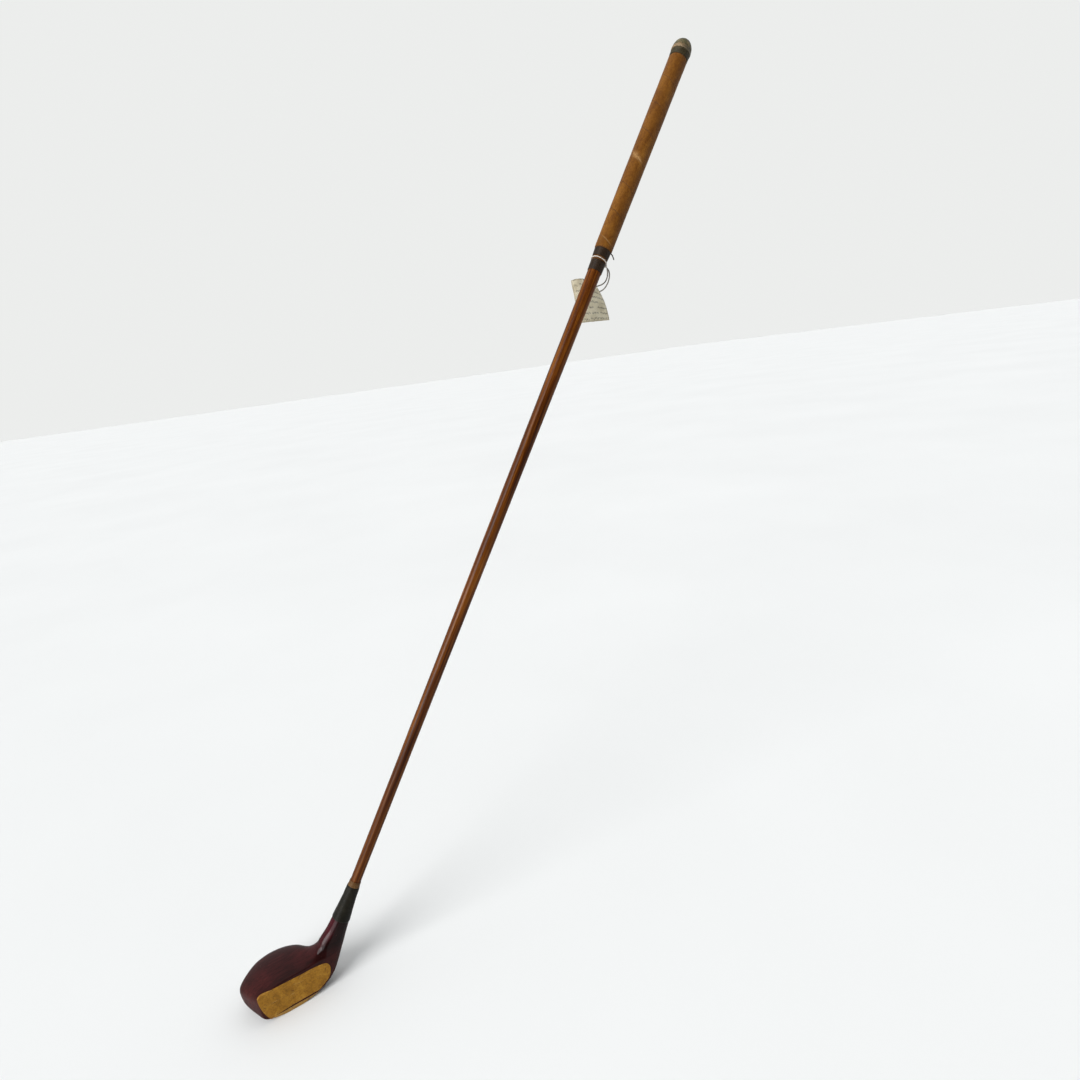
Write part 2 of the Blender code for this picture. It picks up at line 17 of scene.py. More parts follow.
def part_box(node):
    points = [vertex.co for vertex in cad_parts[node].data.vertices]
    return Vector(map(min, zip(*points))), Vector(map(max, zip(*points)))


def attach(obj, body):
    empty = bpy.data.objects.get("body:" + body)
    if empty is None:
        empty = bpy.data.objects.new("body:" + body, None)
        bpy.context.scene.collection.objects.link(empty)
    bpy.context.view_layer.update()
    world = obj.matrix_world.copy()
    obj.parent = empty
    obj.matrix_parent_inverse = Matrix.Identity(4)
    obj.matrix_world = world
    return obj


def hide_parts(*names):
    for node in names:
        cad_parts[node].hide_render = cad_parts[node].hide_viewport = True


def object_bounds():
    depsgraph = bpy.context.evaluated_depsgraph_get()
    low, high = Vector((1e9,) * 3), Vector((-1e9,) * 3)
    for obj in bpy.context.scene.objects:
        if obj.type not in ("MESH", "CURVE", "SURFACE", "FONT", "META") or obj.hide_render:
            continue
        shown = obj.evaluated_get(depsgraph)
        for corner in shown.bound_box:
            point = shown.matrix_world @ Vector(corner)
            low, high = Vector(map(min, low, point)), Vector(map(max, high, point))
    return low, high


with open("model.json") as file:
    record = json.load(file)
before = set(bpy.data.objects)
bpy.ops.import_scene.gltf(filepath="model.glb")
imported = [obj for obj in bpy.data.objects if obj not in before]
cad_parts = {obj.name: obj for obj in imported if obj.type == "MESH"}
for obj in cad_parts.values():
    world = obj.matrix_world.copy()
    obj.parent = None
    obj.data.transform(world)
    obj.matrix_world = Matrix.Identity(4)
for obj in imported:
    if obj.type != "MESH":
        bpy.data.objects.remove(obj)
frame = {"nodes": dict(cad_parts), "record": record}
cad_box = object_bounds()

# ---- the frame's own numbers ----
MM = 0.001
RECORD = frame["record"]
TURN_JOINT = next(j for j in RECORD["behaviour"]["joints"] if j["name"] == "string_turn")
SWING_JOINT = next(j for j in RECORD["behaviour"]["joints"] if j["name"] == "tag_swing")
ALONG = Vector(TURN_JOINT["axis"]).normalized()
BEHIND = Vector((0.0, 1.0, 0.0))
OUTWARD = BEHIND.cross(ALONG).normalized()
STRING_HEIGHT = 0.8126
SHAFT_FOOT = Vector(TURN_JOINT["pos_m"]) - ALONG * STRING_HEIGHT


def axes(x, y, z, origin):
    """The matrix of a space with these axes and this origin."""
    made = Matrix((x, y, z)).transposed().to_4x4()
    made.translation = origin
    return made


SHAFT_SPACE = axes(OUTWARD, BEHIND, ALONG, SHAFT_FOOT)
TAG_HOLE = Vector(SWING_JOINT["pos_m"])
LOFT = math.radians(10.0)
FACE_LEAD = 0.017
FACE_TOP = 0.034
# The insert's outline, in millimetres: across the face from toe to heel, and height. It runs from the lower
# toe corner along the sole, up the heel, back along the crown and down the toe.
FACE_OUTLINE = (
    (-25.4, 2.5), (-24.6, 2.6), (-19.0, 3.7), (-10.4, 4.4), (1.9, 4.8), (14.9, 4.9), (21.6, 5.2), (27.6, 8.1),
    (33.9, 12.9), (36.3, 19.8), (35.6, 24.3), (32.3, 27.2), (23.4, 28.6), (5.5, 29.0), (-9.9, 29.5),
    (-22.0, 29.6), (-29.8, 28.8), (-32.6, 27.2), (-33.3, 25.6), (-32.8, 19.9), (-30.9, 12.1), (-27.7, 5.0),
    (-26.0, 2.7),
)
SLIP_TOP = 0.0034
SLIP_REACH = (-0.023, 0.0212)    # from toe to heel
HEAD_VOXEL = 0.00045
SLIP_VOXEL = 0.00022


def on_shaft(height, out=0.0, back=0.0):
    """A point given in shaft space, in the row frame."""
    return SHAFT_FOOT + ALONG * height + OUTWARD * out + BEHIND * back


# ---- shader helpers ----
class Look:
    """A Principled material that is built up from procedural nodes."""

    def __init__(self, name, roughness=0.5, **sockets):
        self.mat = bpy.data.materials.new(name)
        self.mat.use_nodes = True
        self.tree = self.mat.node_tree
        self.shader = self.tree.nodes["Principled BSDF"]
        self.set(Roughness=roughness)
        for key, value in sockets.items():
            self.shader.inputs[key.replace("_", " ")].default_value = value

    def plug(self, socket, value):
        if isinstance(value, bpy.types.NodeSocket):
            self.tree.links.new(value, socket)
        elif isinstance(value, tuple) and len(value) == 3 and socket.type == "RGBA":
            socket.default_value = (*value, 1.0)
        else:
            socket.default_value = value

    def set(self, **sockets):
        for key, value in sockets.items():
            self.plug(self.shader.inputs[key.replace("_", " ")], value)

    def node(self, kind, inputs=None, out=0, **props):
        made = self.tree.nodes.new("ShaderNode" + kind)
        for key, value in props.items():
            setattr(made, key, value)
        for key, value in (inputs or {}).items():
            self.plug(made.inputs[key], value)
        return made.outputs[out]

    def place(self, scale=(1.0, 1.0, 1.0), source="Object"):
        where = self.node("TexCoord").node.outputs[source]
        return self.node("Mapping", {"Vector": where, "Scale": scale})

    def noise(self, scale, detail=3.0, rough=0.55, distort=0.0, source="Object"):
        """The scale is a number, or a triple that stretches the noise."""
        even = not isinstance(scale, tuple)
        where = self.place(source=source) if even else self.place(scale, source)
        return self.node("TexNoise", {"Vector": where, "Scale": scale if even else 1.0, "Detail": detail,
                                      "Roughness": rough, "Distortion": distort})

    def ramp(self, factor, *stops):
        """Colour or grey stops as (place, colour)."""
        out = self.node("ValToRGB", {"Fac": factor})
        band = out.node.color_ramp
        while len(band.elements) < len(stops):
            band.elements.new(1.0)
        for element, (at, colour) in zip(band.elements, stops):
            element.position = at
            element.color = (*colour, 1.0) if isinstance(colour, tuple) else (colour, colour, colour, 1.0)
        return out

    def mix(self, factor, a, b, blend="MIX"):
        made = self.tree.nodes.new("ShaderNodeMix")
        made.data_type = "RGBA"
        made.blend_type = blend
        self.plug(made.inputs[0], factor)
        self.plug(made.inputs[6], a)
        self.plug(made.inputs[7], b)
        return made.outputs[2]

    def grade(self, value, start, end):
        """From 0 at start to 1 at end."""
        return self.node("MapRange", {"Value": value, "From Min": start, "From Max": end})

    def maths(self, operation, a, b=0.0, clamp=False):
        made = self.tree.nodes.new("ShaderNodeMath")
        made.operation = operation
        made.use_clamp = clamp
        self.plug(made.inputs[0], a)
        self.plug(made.inputs[1], b)
        return made.outputs[0]

    def bump(self, *layers):
        """Layers are (height, strength, distance in metres)."""
        normal = None
        for height, strength, distance in layers:
            inputs = {"Height": height, "Strength": strength, "Distance": distance}
            if normal is not None:
                inputs["Normal"] = normal
            normal = self.node("Bump", inputs)
        self.set(Normal=normal)

    def done(self, colour, roughness, *layers):
        """The finished material. A roughness of None leaves the one it was made with."""
        self.set(Base_Color=colour)
        if roughness is not None:
            self.set(Roughness=roughness)
        self.bump(*layers)
        return self.mat


def cherry_varnish():
    """Dark stained wood under varnish, redder up the neck, with worn edges and scuffs. The light edges are
    partly a painted highlight, and a painted dark shade runs down the front of the neck.
    """
    look = Look("cherry_varnish", Coat_Weight=0.24, Coat_Roughness=0.06, Specular_IOR_Level=0.0)
    grain = look.noise((60, 900, 900), 5.0, 0.6, 0.6)
    cloud = look.noise(38.0, 4.0, 0.6)
    place = look.node("SeparateXYZ", {"Vector": look.place()}).node
    rise = look.grade(place.outputs["Z"], 0.026, 0.062)
    crown = look.ramp(cloud, (0.3, (0.028, 0.0066, 0.0056)), (0.55, (0.046, 0.0088, 0.0076)),
                      (0.75, (0.064, 0.012, 0.0098)))
    neck = look.ramp(cloud, (0.3, (0.026, 0.003, 0.0054)), (0.6, (0.056, 0.0048, 0.01)),
                     (0.8, (0.086, 0.0085, 0.015)))
    body = look.mix(rise, crown, neck)
    streaks = look.ramp(grain, (0.35, 0.55), (0.62, 1.0))
    body = look.mix(1.0, body, streaks, "MULTIPLY")
    # Painted shade: the wood is painted near black down the front of the neck and into the crease towards the
    # face, in place of the dark reflection and shade there.
    ahead = look.maths("ADD", place.outputs["Y"], look.maths("MULTIPLY", cloud, 0.002))
    ahead = look.grade(ahead, -0.0136, -0.0162)
    above = look.grade(place.outputs["Z"], 0.027, 0.04)
    # stain here is painted shade, not a real stain in the wood.
    stain = look.maths("MULTIPLY", look.maths("MULTIPLY", ahead, above), 0.88)
    body = look.mix(stain, body, (0.005, 0.0026, 0.0022))
    # Convex edges are lightened: worn varnish, and a painted highlight on the ridges as well.
    edge = look.node("NewGeometry").node.outputs["Pointiness"]
    worn_edge_and_highlight = look.ramp(edge, (0.525, 0.0), (0.6, 0.75))
    body = look.mix(worn_edge_and_highlight, body, (0.16, 0.055, 0.028))
    scuffs = look.noise((300, 120, 300), 6.0, 0.72, 0.3)
    scuffed = look.ramp(scuffs, (0.64, 0.0), (0.72, 0.5))
    body = look.mix(scuffed, body, (0.085, 0.04, 0.032))
    gloss = look.ramp(look.noise(160.0, 5.0, 0.65), (0.35, 0.22), (0.75, 0.42))
    return look.done(body, gloss, (grain, 0.1, 0.0002), (cloud, 0.2, 0.0006), (scuffs, 0.12, 0.0002),
                     (look.noise(1400.0, 2.0), 0.04, 0.0001))


def tan_fibre():
    """The face insert: mottled, with specks, pits and long scratches."""
    look = Look("tan_fibre", 0.62, Specular_IOR_Level=0.18)
    blotch = look.noise(110.0, 5.0, 0.62, 0.4)
    grit = look.noise(620.0, 4.0, 0.7)
    cells = look.node("TexVoronoi", {"Vector": look.place(), "Scale": 420.0}, out=0)
    base = look.ramp(blotch, (0.28, (0.205, 0.09, 0.0075)), (0.5, (0.3, 0.14, 0.0125)),
                     (0.72, (0.395, 0.195, 0.023)))
    grain = look.ramp(grit, (0.36, (0.62, 0.56, 0.46)), (0.55, (1.0, 1.0, 1.0)), (0.75, (1.18, 1.16, 1.1)))
    base = look.mix(0.85, base, grain, "MULTIPLY")
    specks = look.ramp(look.noise(330.0, 2.0, 0.5), (0.66, 0.0), (0.71, 0.8))
    base = look.mix(specks, base, (0.085, 0.036, 0.007))
    pits = look.ramp(cells, (0.04, 0.7), (0.16, 0.0))
    base = look.mix(look.maths("MULTIPLY", pits, 0.5), base, (0.13, 0.06, 0.012))
    scratch = look.ramp(look.noise((60, 900, 900), 4.0, 0.7), (0.62, 0.0), (0.68, 0.35))
    base = look.mix(scratch, base, (0.55, 0.36, 0.12))
    return look.done(base, look.ramp(grit, (0.3, 0.5), (0.7, 0.75)), (blotch, 0.25, 0.0006),
                     (grit, 0.35, 0.0002), (cells, 0.25, 0.0002))


def horn():
    """The sole slip, worn to a streaky ochre."""
    look = Look("slip_fibre", 0.42, Specular_IOR_Level=0.4)
    streak = look.noise((90, 500, 1600), 5.0, 0.6, 0.6)
    base = look.ramp(streak, (0.3, (0.17, 0.08, 0.012)), (0.52, (0.32, 0.17, 0.03)),
                     (0.74, (0.44, 0.26, 0.065)))
    dirt = look.ramp(look.noise(210.0, 4.0, 0.65), (0.54, 0.0), (0.66, 0.6))
    return look.done(look.mix(dirt, base, (0.05, 0.026, 0.012)),
                     look.ramp(streak, (0.3, 0.34), (0.7, 0.55)), (streak, 0.2, 0.0002))


def lead():
    look = Look("lead", 0.5, Metallic=1.0)
    cloud = look.noise(120.0, 5.0, 0.65)
    fine = look.noise(900.0, 3.0, 0.6)
    return look.done(look.ramp(cloud, (0.3, (0.115, 0.115, 0.12)), (0.7, (0.26, 0.255, 0.25))),
                     look.ramp(fine, (0.3, 0.4), (0.7, 0.68)), (cloud, 0.4, 0.0005), (fine, 0.3, 0.0001))


def peg_wood():
    look = Look("peg_wood", 0.6)
    rings = look.noise((900, 200, 900), 5.0, 0.6)
    return look.done(look.ramp(rings, (0.3, (0.21, 0.098, 0.016)), (0.7, (0.38, 0.21, 0.05))), None,
                     (rings, 0.3, 0.0001))


def hickory():
    """Varnished shaft wood with long dark grain."""
    look = Look("hickory", Coat_Weight=0.15, Coat_Roughness=0.15, Specular_IOR_Level=0.03)
    grain = look.noise((420, 420, 9), 6.0, 0.62, 0.35)
    bands = look.noise((120, 120, 4.5), 4.0, 0.6, 0.5)
    ticks = look.noise((2300, 2300, 120), 3.0, 0.6)
    shade = look.noise((20, 20, 16), 3.0, 0.55)
    base = look.ramp(grain, (0.28, (0.028, 0.0062, 0.0012)), (0.45, (0.076, 0.02, 0.0026)),
                     (0.6, (0.15, 0.048, 0.0055)), (0.78, (0.26, 0.1, 0.014)))
    dark = look.ramp(bands, (0.35, (0.26, 0.17, 0.12)), (0.52, (1.0, 1.0, 1.0)))
    base = look.mix(0.85, base, dark, "MULTIPLY")
    pores = look.ramp(ticks, (0.3, 0.8), (0.4, 0.0))
    base = look.mix(pores, base, (0.03, 0.0075, 0.0024))
    tone = look.ramp(shade, (0.3, (0.72, 0.62, 0.56)), (0.7, (1.12, 1.1, 1.05)))
    base = look.mix(0.7, base, tone, "MULTIPLY")
    gloss = look.ramp(look.noise((60, 60, 20), 4.0, 0.6), (0.3, 0.26), (0.75, 0.48))
    return look.done(base, gloss, (grain, 0.22, 0.0002), (ticks, 0.2, 0.0001), (bands, 0.1, 0.0003))


def waxed_thread(name, dark, mid, light, roughness=(0.32, 0.58)):
    look = Look(name, Specular_IOR_Level=0.12)
    wear = look.noise((70, 70, 60), 5.0, 0.65)
    fibres = look.noise((900, 900, 5200), 3.0, 0.6)
    base = look.ramp(wear, (0.3, dark), (0.55, mid), (0.78, light))
    threads = look.ramp(fibres, (0.34, 0.55), (0.66, 1.25))
    return look.done(look.mix(1.0, base, threads, "MULTIPLY"),
                     look.ramp(wear, (0.3, roughness[0]), (0.75, roughness[1])), (fibres, 0.35, 0.00008),
                     (wear, 0.2, 0.0003))


def grip_leather():
    """Worn tan leather. The mesh's seam and worn attributes say where it is dark or rubbed pale; the rubbed
    pale places are painted highlights as well as wear.
    """
    look = Look("grip_leather", Specular_IOR_Level=0.06, Sheen_Weight=0.06, Sheen_Roughness=0.5)
    cloud = look.noise((60, 60, 26), 6.0, 0.66, 0.4)
    hide = look.noise(340.0, 5.0, 0.68)
    pores = look.node("TexVoronoi", {"Vector": look.place((1, 1, 0.7)), "Scale": 1250.0}, out=0)
    base = look.ramp(cloud, (0.28, (0.074, 0.024, 0.0025)), (0.5, (0.13, 0.048, 0.005)),
                     (0.72, (0.19, 0.079, 0.0105)))
    flecks = look.ramp(hide, (0.32, (0.7, 0.62, 0.55)), (0.6, (1.06, 1.06, 1.04)))
    base = look.mix(0.8, base, flecks, "MULTIPLY")
    seam = look.node("Attribute", out=2, attribute_name="seam")
    worn = look.node("Attribute", out=2, attribute_name="worn")
    broken = look.ramp(hide, (0.3, 0.35), (0.55, 1.0))
    base = look.mix(look.maths("MULTIPLY", seam, 0.62), base, (0.062, 0.024, 0.006))
    # The worn mask lightens the leather, as wear and as a painted highlight.
    base = look.mix(look.maths("MULTIPLY", worn, broken, clamp=True), base, (0.27, 0.145, 0.052))
    grime = look.ramp(look.noise((90, 90, 50), 5.0, 0.7), (0.6, 0.0), (0.74, 0.55))
    base = look.mix(grime, base, (0.058, 0.028, 0.01))
    return look.done(base, look.ramp(cloud, (0.3, 0.5), (0.7, 0.7)), (cloud, 0.3, 0.0005),
                     (hide, 0.35, 0.0002), (pores, 0.3, 0.00012))


def aged_cap():
    look = Look("aged_cap", 0.55, Specular_IOR_Level=0.4)
    blotch = look.noise(210.0, 4.0, 0.6, 0.5)
    small = look.noise(620.0, 4.0, 0.65)
    base = look.ramp(blotch, (0.3, (0.026, 0.022, 0.01)), (0.46, (0.066, 0.055, 0.023)),
                     (0.58, (0.125, 0.09, 0.04)), (0.74, (0.225, 0.155, 0.075)))
    green = look.ramp(look.noise((150, 150, 210), 3.0, 0.55), (0.52, 0.0), (0.66, 0.75))
    base = look.mix(green, base, (0.048, 0.06, 0.022))
    base = look.mix(look.ramp(small, (0.3, 0.65), (0.45, 0.0)), base, (0.02, 0.017, 0.01))
    return look.done(base, look.ramp(small, (0.3, 0.42), (0.7, 0.68)), (blotch, 0.45, 0.0006),
                     (small, 0.4, 0.0002))


def collar_leather():
    look = Look("collar_leather", 0.6)
    cloud = look.noise(260.0, 5.0, 0.65)
    base = look.ramp(cloud, (0.3, (0.085, 0.052, 0.022)), (0.52, (0.19, 0.12, 0.054)),
                     (0.74, (0.31, 0.21, 0.105)))
    # Painted shadow: the collar is darkened on its side to the right in the camera's view.
    split = look.node("SeparateXYZ", {"Vector": look.place((0.83, -0.56, 1.0))}).node
    across = look.maths("ADD", split.outputs["X"], split.outputs["Y"])
    right_side_shade = look.grade(across, -0.004, 0.005)
    base = look.mix(look.maths("MULTIPLY", right_side_shade, 0.85), base, (0.04, 0.034, 0.017))
    return look.done(base, None, (cloud, 0.4, 0.0003), (look.noise(1200.0, 3.0), 0.3, 0.0001))


def cotton(name, light, dark):
    look = Look(name, 0.85, Sheen_Weight=0.3, Sheen_Roughness=0.4)
    dirt = look.noise(260.0, 4.0, 0.6)
    fuzz = look.noise(3200.0, 3.0, 0.7)
    base = look.ramp(dirt, (0.32, dark), (0.62, light))
    return look.done(look.mix(0.6, base, look.ramp(fuzz, (0.3, 0.62), (0.65, 1.1)), "MULTIPLY"), None,
                     (fuzz, 0.6, 0.00012))


def plain_cloth():
    look = Look("plain_cloth", 0.9)
    weave = look.node("TexWave", {"Vector": look.place(), "Scale": 700.0, "Distortion": 0.4}, out=1)
    return look.done(look.ramp(weave, (0.2, (0.2, 0.15, 0.09)), (0.8, (0.34, 0.27, 0.18))), None,
                     (weave, 0.4, 0.0002))


def dull_steel():
    look = Look("dull_steel", 0.4, Metallic=1.0)
    fine = look.noise(2400.0, 3.0)
    return look.done(look.ramp(fine, (0.3, (0.16, 0.14, 0.12)), (0.7, (0.36, 0.35, 0.33))), None,
                     (fine, 0.3, 0.00005))


def old_paper():
    """Aged paper with rows of faded scribble that spell nothing."""
    look = Look("old_paper", 0.85, Specular_IOR_Level=0.25)
    stain = look.noise(90.0, 5.0, 0.62)
    fibre = look.noise(900.0, 4.0, 0.7)
    base = look.ramp(stain, (0.3, (0.52, 0.455, 0.31)), (0.52, (0.73, 0.665, 0.49)),
                     (0.75, (0.84, 0.785, 0.62)))
    base = look.mix(0.5, base, look.ramp(fibre, (0.3, 0.82), (0.65, 1.05)), "MULTIPLY")
    edge = look.node("Attribute", out=2, attribute_name="edge")
    base = look.mix(look.maths("MULTIPLY", edge, 0.55), base, (0.215, 0.165, 0.095))
    across = look.node("SeparateXYZ", {"Vector": look.place(source="UV")})
    rows = 7.5
    wobble = look.noise((40, 3, 1), 2.0, 0.5, source="UV")
    squiggle = look.maths("SUBTRACT", wobble, 0.5)
    row = look.maths("MULTIPLY", across.node.outputs["Y"], rows)
    line = look.maths("FRACT", look.maths("ADD", row, squiggle))
    off = look.maths("ABSOLUTE", look.maths("SUBTRACT", line, 0.5))
    stroke = look.grade(off, 0.15, 0.085)
    words = look.noise((7, rows * 0.97, 1), 1.0, 0.5, source="UV")
    worded = look.ramp(words, (0.4, 0.0), (0.45, 1.0))
    pen = look.ramp(look.noise((60, 40, 1), 2.0, 0.6, source="UV"), (0.36, 0.1), (0.58, 1.0))
    ink = look.maths("MULTIPLY", look.maths("MULTIPLY", stroke, worded), pen)
    margin = look.grade(across, 0.05, 0.09)
    ink = look.maths("MULTIPLY", ink, look.maths("MULTIPLY", margin, 0.82))
    base = look.mix(ink, base, (0.04, 0.036, 0.034))
    return look.done(base, None, (fibre, 0.25, 0.0001), (stain, 0.25, 0.0005))


# ---- mesh helpers ----
def piece(name, verts, faces, mat, body, replaced=(), space=None, sharp=None):
    """A mesh object that rides on a body. Its vertices are in the row frame or in a space of its own."""
    mesh = bpy.data.meshes.new(name)
    mesh.from_pydata([tuple(v) for v in verts], [], faces)
    mesh.validate()
    return dress(name, mesh, mat, body, replaced, space, sharp)


def dress(name, mesh, mat, body, replaced=(), space=None, sharp=None):
    """Make a finished mesh into a piece that rides on a body."""
    mesh.materials.clear()
    mesh.materials.append(mat)
    mesh.shade_smooth()
    if sharp is not None:
        mesh.set_sharp_from_angle(angle=math.radians(sharp))
    made = loose(name, mesh)
    if space is not None:
        made.matrix_world = space
    bpy.context.view_layer.update()
    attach(made, body)
    if replaced:
        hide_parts(*replaced)
    return made


def baked(thing):
    """The object's mesh with its modifiers applied. The object itself goes away."""
    bpy.context.view_layer.update()
    graph = bpy.context.evaluated_depsgraph_get()
    mesh = bpy.data.meshes.new_from_object(thing.evaluated_get(graph))
    bpy.data.objects.remove(thing)
    return mesh


def loose(name, data):
    """A new object in the scene, which isn't a piece yet."""
    thing = bpy.data.objects.new(name, data)
    bpy.context.scene.collection.objects.link(thing)
    return thing


def sheet_of(verts, faces, **layers):
    """A bmesh, with a float layer on its vertices for each named list of values."""
    bm = bmesh.new()
    named = [(bm.verts.layers.float.new(key), values) for key, values in layers.items()]
    made = [bm.verts.new(v) for v in verts]
    for layer, values in named:
        for vert, value in zip(made, values):
            vert[layer] = value
    for face in faces:
        bm.faces.new([made[i] for i in face])
    return bm


def mesh_of(bm, name, outward=True):
    """The bmesh as a mesh. The bmesh goes away."""
    if outward:
        bmesh.ops.recalc_face_normals(bm, faces=bm.faces)
    mesh = bpy.data.meshes.new(name)
    bm.to_mesh(mesh)
    bm.free()
    return mesh


def ring_faces(rings, sides, start=0):
    """Faces between rings of vertices, bottom to top."""
    faces = []
    for i in range(rings - 1):
        for k in range(sides):
            a = start + i * sides + k
            b = start + i * sides + (k + 1) % sides
            faces.append((a, b, b + sides, a + sides))
    return faces


def helix_faces(count, sides, shift):
    """Faces between the rows of a helical sheet. The last column joins the first one, shift rows on."""
    faces = []
    for j in range(count - 1):
        for a in range(j * sides, (j + 1) * sides - 1):
            faces.append((a, a + 1, a + 1 + sides, a + sides))
        if 0 <= j + shift < count - 1:
            a, b = (j + 1) * sides - 1, (j + shift) * sides
            faces.append((a, b, b + sides, a + sides))
    return faces


def wall_inwards(bm, inner):
    """Fold the open rims in towards the shaft line, to the radius inner(height)."""
    rim = [e for e in bm.edges if len(e.link_faces) == 1]
    grown = bmesh.ops.extrude_edge_only(bm, edges=rim)
    for vert in (g for g in grown["geom"] if isinstance(g, bmesh.types.BMVert)):
        share = inner(vert.co.z) / math.hypot(vert.co.x, vert.co.y)
        vert.co.x *= share
        vert.co.y *= share


def lumps(angle, height, wide, tall, seed=0.0):
    """Smooth noise round the shaft. wide and tall are how fast it changes round it and along it."""
    return noise.noise(Vector((math.cos(angle) * wide, math.sin(angle) * wide + seed, height * tall)))


def smooth_path(rows, steps):
    """Catmull-Rom curve through rows of any width, with steps spans between each pair."""
    rows = np.asarray(rows, dtype=float)
    padded = np.vstack([2 * rows[0] - rows[1], rows, 2 * rows[-1] - rows[-2]])
    out = []
    for i in range(1, len(padded) - 2):
        p0, p1, p2, p3 = padded[i - 1:i + 3]
        for k in range(steps):
            t = k / steps
            out.append(0.5 * (2 * p1 + (p2 - p0) * t + (2 * p0 - 5 * p1 + 4 * p2 - p3) * t ** 2
                              + (3 * p1 - p0 - 3 * p2 + p3) * t ** 3))
    out.append(rows[-1])
    return np.array(out)


def even_path(points, spacing):
    """A smooth path with evenly spaced points, and its length."""
    path = smooth_path([tuple(p) for p in points], 16)
    gone = np.concatenate([[0.0], np.cumsum(np.linalg.norm(np.diff(path, axis=0), axis=1))])
    count = max(4, int(round(gone[-1] / spacing)) + 1)
    at = np.linspace(0.0, gone[-1], count)
    return np.column_stack([np.interp(at, gone, path[:, k]) for k in range(3)]), gone[-1]


# ---- head ----
def neck_station(height, upper, under, depth):
    """A round station on the neck: its reach above, below and in front of the shaft line."""
    flat_along = Vector((ALONG.x, 0.0, ALONG.z))
    middle = flat_along * height
    top = middle - OUTWARD * upper
    low = middle + OUTWARD * under
    return (top.x, top.z, low.x, low.z, -depth, depth, under / (upper + under), 1.0)


def head_stations():
    """Crown x, z; sole x, z; front y; back y; height of the widest line as a share; roundness."""
    body = (
        (-68.6, 17.0, -68.4, 11.5, 14.0, 18.5, 0.6),
        (-67.4, 20.5, -66.8, 6.5, 9.0, 22.5, 0.62),
        (-64.5, 23.2, -63.6, 3.2, 2.0, 26.5, 0.66),
        (-60.0, 25.4, -59.0, 1.3, -7.5, 31.0, 0.68),
        (-54.0, 27.2, -53.5, -0.1, -18.0, 36.2, 0.68),
        (-46.0, 28.9, -46.0, -1.5, -22.5, 40.8, 0.66),
        (-33.5, 30.5, -33.5, -2.9, -26.5, 43.4, 0.63),
        (-20.0, 31.2, -20.0, -2.9, -27.0, 41.4, 0.61),
        (-8.5, 31.8, -7.0, -1.3, -24.0, 34.5, 0.58),
        (0.5, 33.0, 6.5, 1.2, -19.6, 22.0, 0.54),
        (8.3, 37.6, 19.5, 7.6, -14.2, 14.5, 0.48),
    )
    neck = ((42.5, 13.2, 11.6, 10.4), (53.0, 10.6, 10.3, 9.4), (65.0, 9.0, 9.0, 8.8), (77.0, 7.6, 7.6, 7.6),
            (86.0, 6.8, 6.8, 6.8), (94.0, 6.3, 6.3, 6.3))
    stations = []
    for i, row in enumerate(body):
        stations.append((*(v * MM for v in row[:6]), row[6], max(0.0, (i - 7) / 4.0)))
    for row in neck:
        stations.append(neck_station(*(v * MM for v in row)))
    return stations


def station_ring(row, sides, inset):
    top_x, top_z, low_x, low_z, front, back, widest, roundness = row
    top = Vector((top_x, 0.0, top_z))
    low = Vector((low_x, 0.0, low_z))
    centre = low.lerp(top, widest)
    up = top - centre
    down = low - centre
    up *= 1 - inset / up.length
    down *= 1 - inset / down.length
    half = (back - front) / 2 - inset
    middle = (back + front) / 2
    lean = math.tan(LOFT) * (1.0 - roundness)
    powers = {"crown_front": 2.6, "crown_back": 2.1, "sole_front": 6.0, "sole_back": 2.7}
    ring = []
    for k in range(sides):
        angle = 2 * math.pi * (k + 0.5) / sides
        across = math.cos(angle)
        rise = math.sin(angle)
        power = powers[("crown_" if rise >= 0 else "sole_") + ("front" if across < 0 else "back")]
        power += (2.0 - power) * roundness
        reach = (abs(across) ** power + abs(rise) ** power) ** (-1 / power)
        arm = up * rise if rise >= 0 else down * -rise
        point = centre + arm * reach
        point.y = middle + half * across * reach + max(0.0, -across * reach) * lean * point.z
        ring.append(point + SHAFT_FOOT)
    return ring


def head_form(name, inset=0.0, sides=128, steps=10):
    """The head's outer form as a closed loft."""
    rows = smooth_path(head_stations(), steps)
    verts = []
    for row in rows:
        verts.extend(station_ring(row, sides, inset))
    faces = ring_faces(len(rows), sides)
    for end, flip in ((0, False), (len(rows) - 1, True)):
        ring = [end * sides + k for k in range(sides)]
        tip = len(verts)
        verts.append(sum((verts[i] for i in ring), Vector()) / sides)
        for k in range(sides):
            pair = (ring[k], ring[(k + 1) % sides])
            faces.append((tip, *pair) if flip else (tip, *reversed(pair)))
    mesh = bpy.data.meshes.new(name)
    mesh.from_pydata([tuple(v) for v in verts], [], faces)
    bm = bmesh.new()
    bm.from_mesh(mesh)
    return loose(name, mesh_of(bm, name))


def block(name, corners):
    """A closed block from 8 corners, in the order x, y, z with z changing fastest."""
    faces = [(0, 1, 3, 2), (4, 6, 7, 5), (0, 4, 5, 1), (2, 3, 7, 6), (0, 2, 6, 4), (1, 5, 7, 3)]
    mesh = bpy.data.meshes.new(name)
    mesh.from_pydata(corners, [], faces)
    return loose(name, mesh)


def box_block(name, low, high):
    return block(name, list(itertools.product(*zip(low, high))))


def face_block(name, near, far, low, high, toe=-0.2, heel=0.2):
    """Between two planes parallel to the face and two heights above the shaft's foot."""
    start = SHAFT_FOOT.y - FACE_LEAD
    corners = []
    for x in (toe, heel):
        for depth in (near, far):
            for z in (low, high):
                y = start + depth / math.cos(LOFT) + z * math.tan(LOFT)
                corners.append((SHAFT_FOOT.x + x, y, SHAFT_FOOT.z + z))
    return block(name, corners)


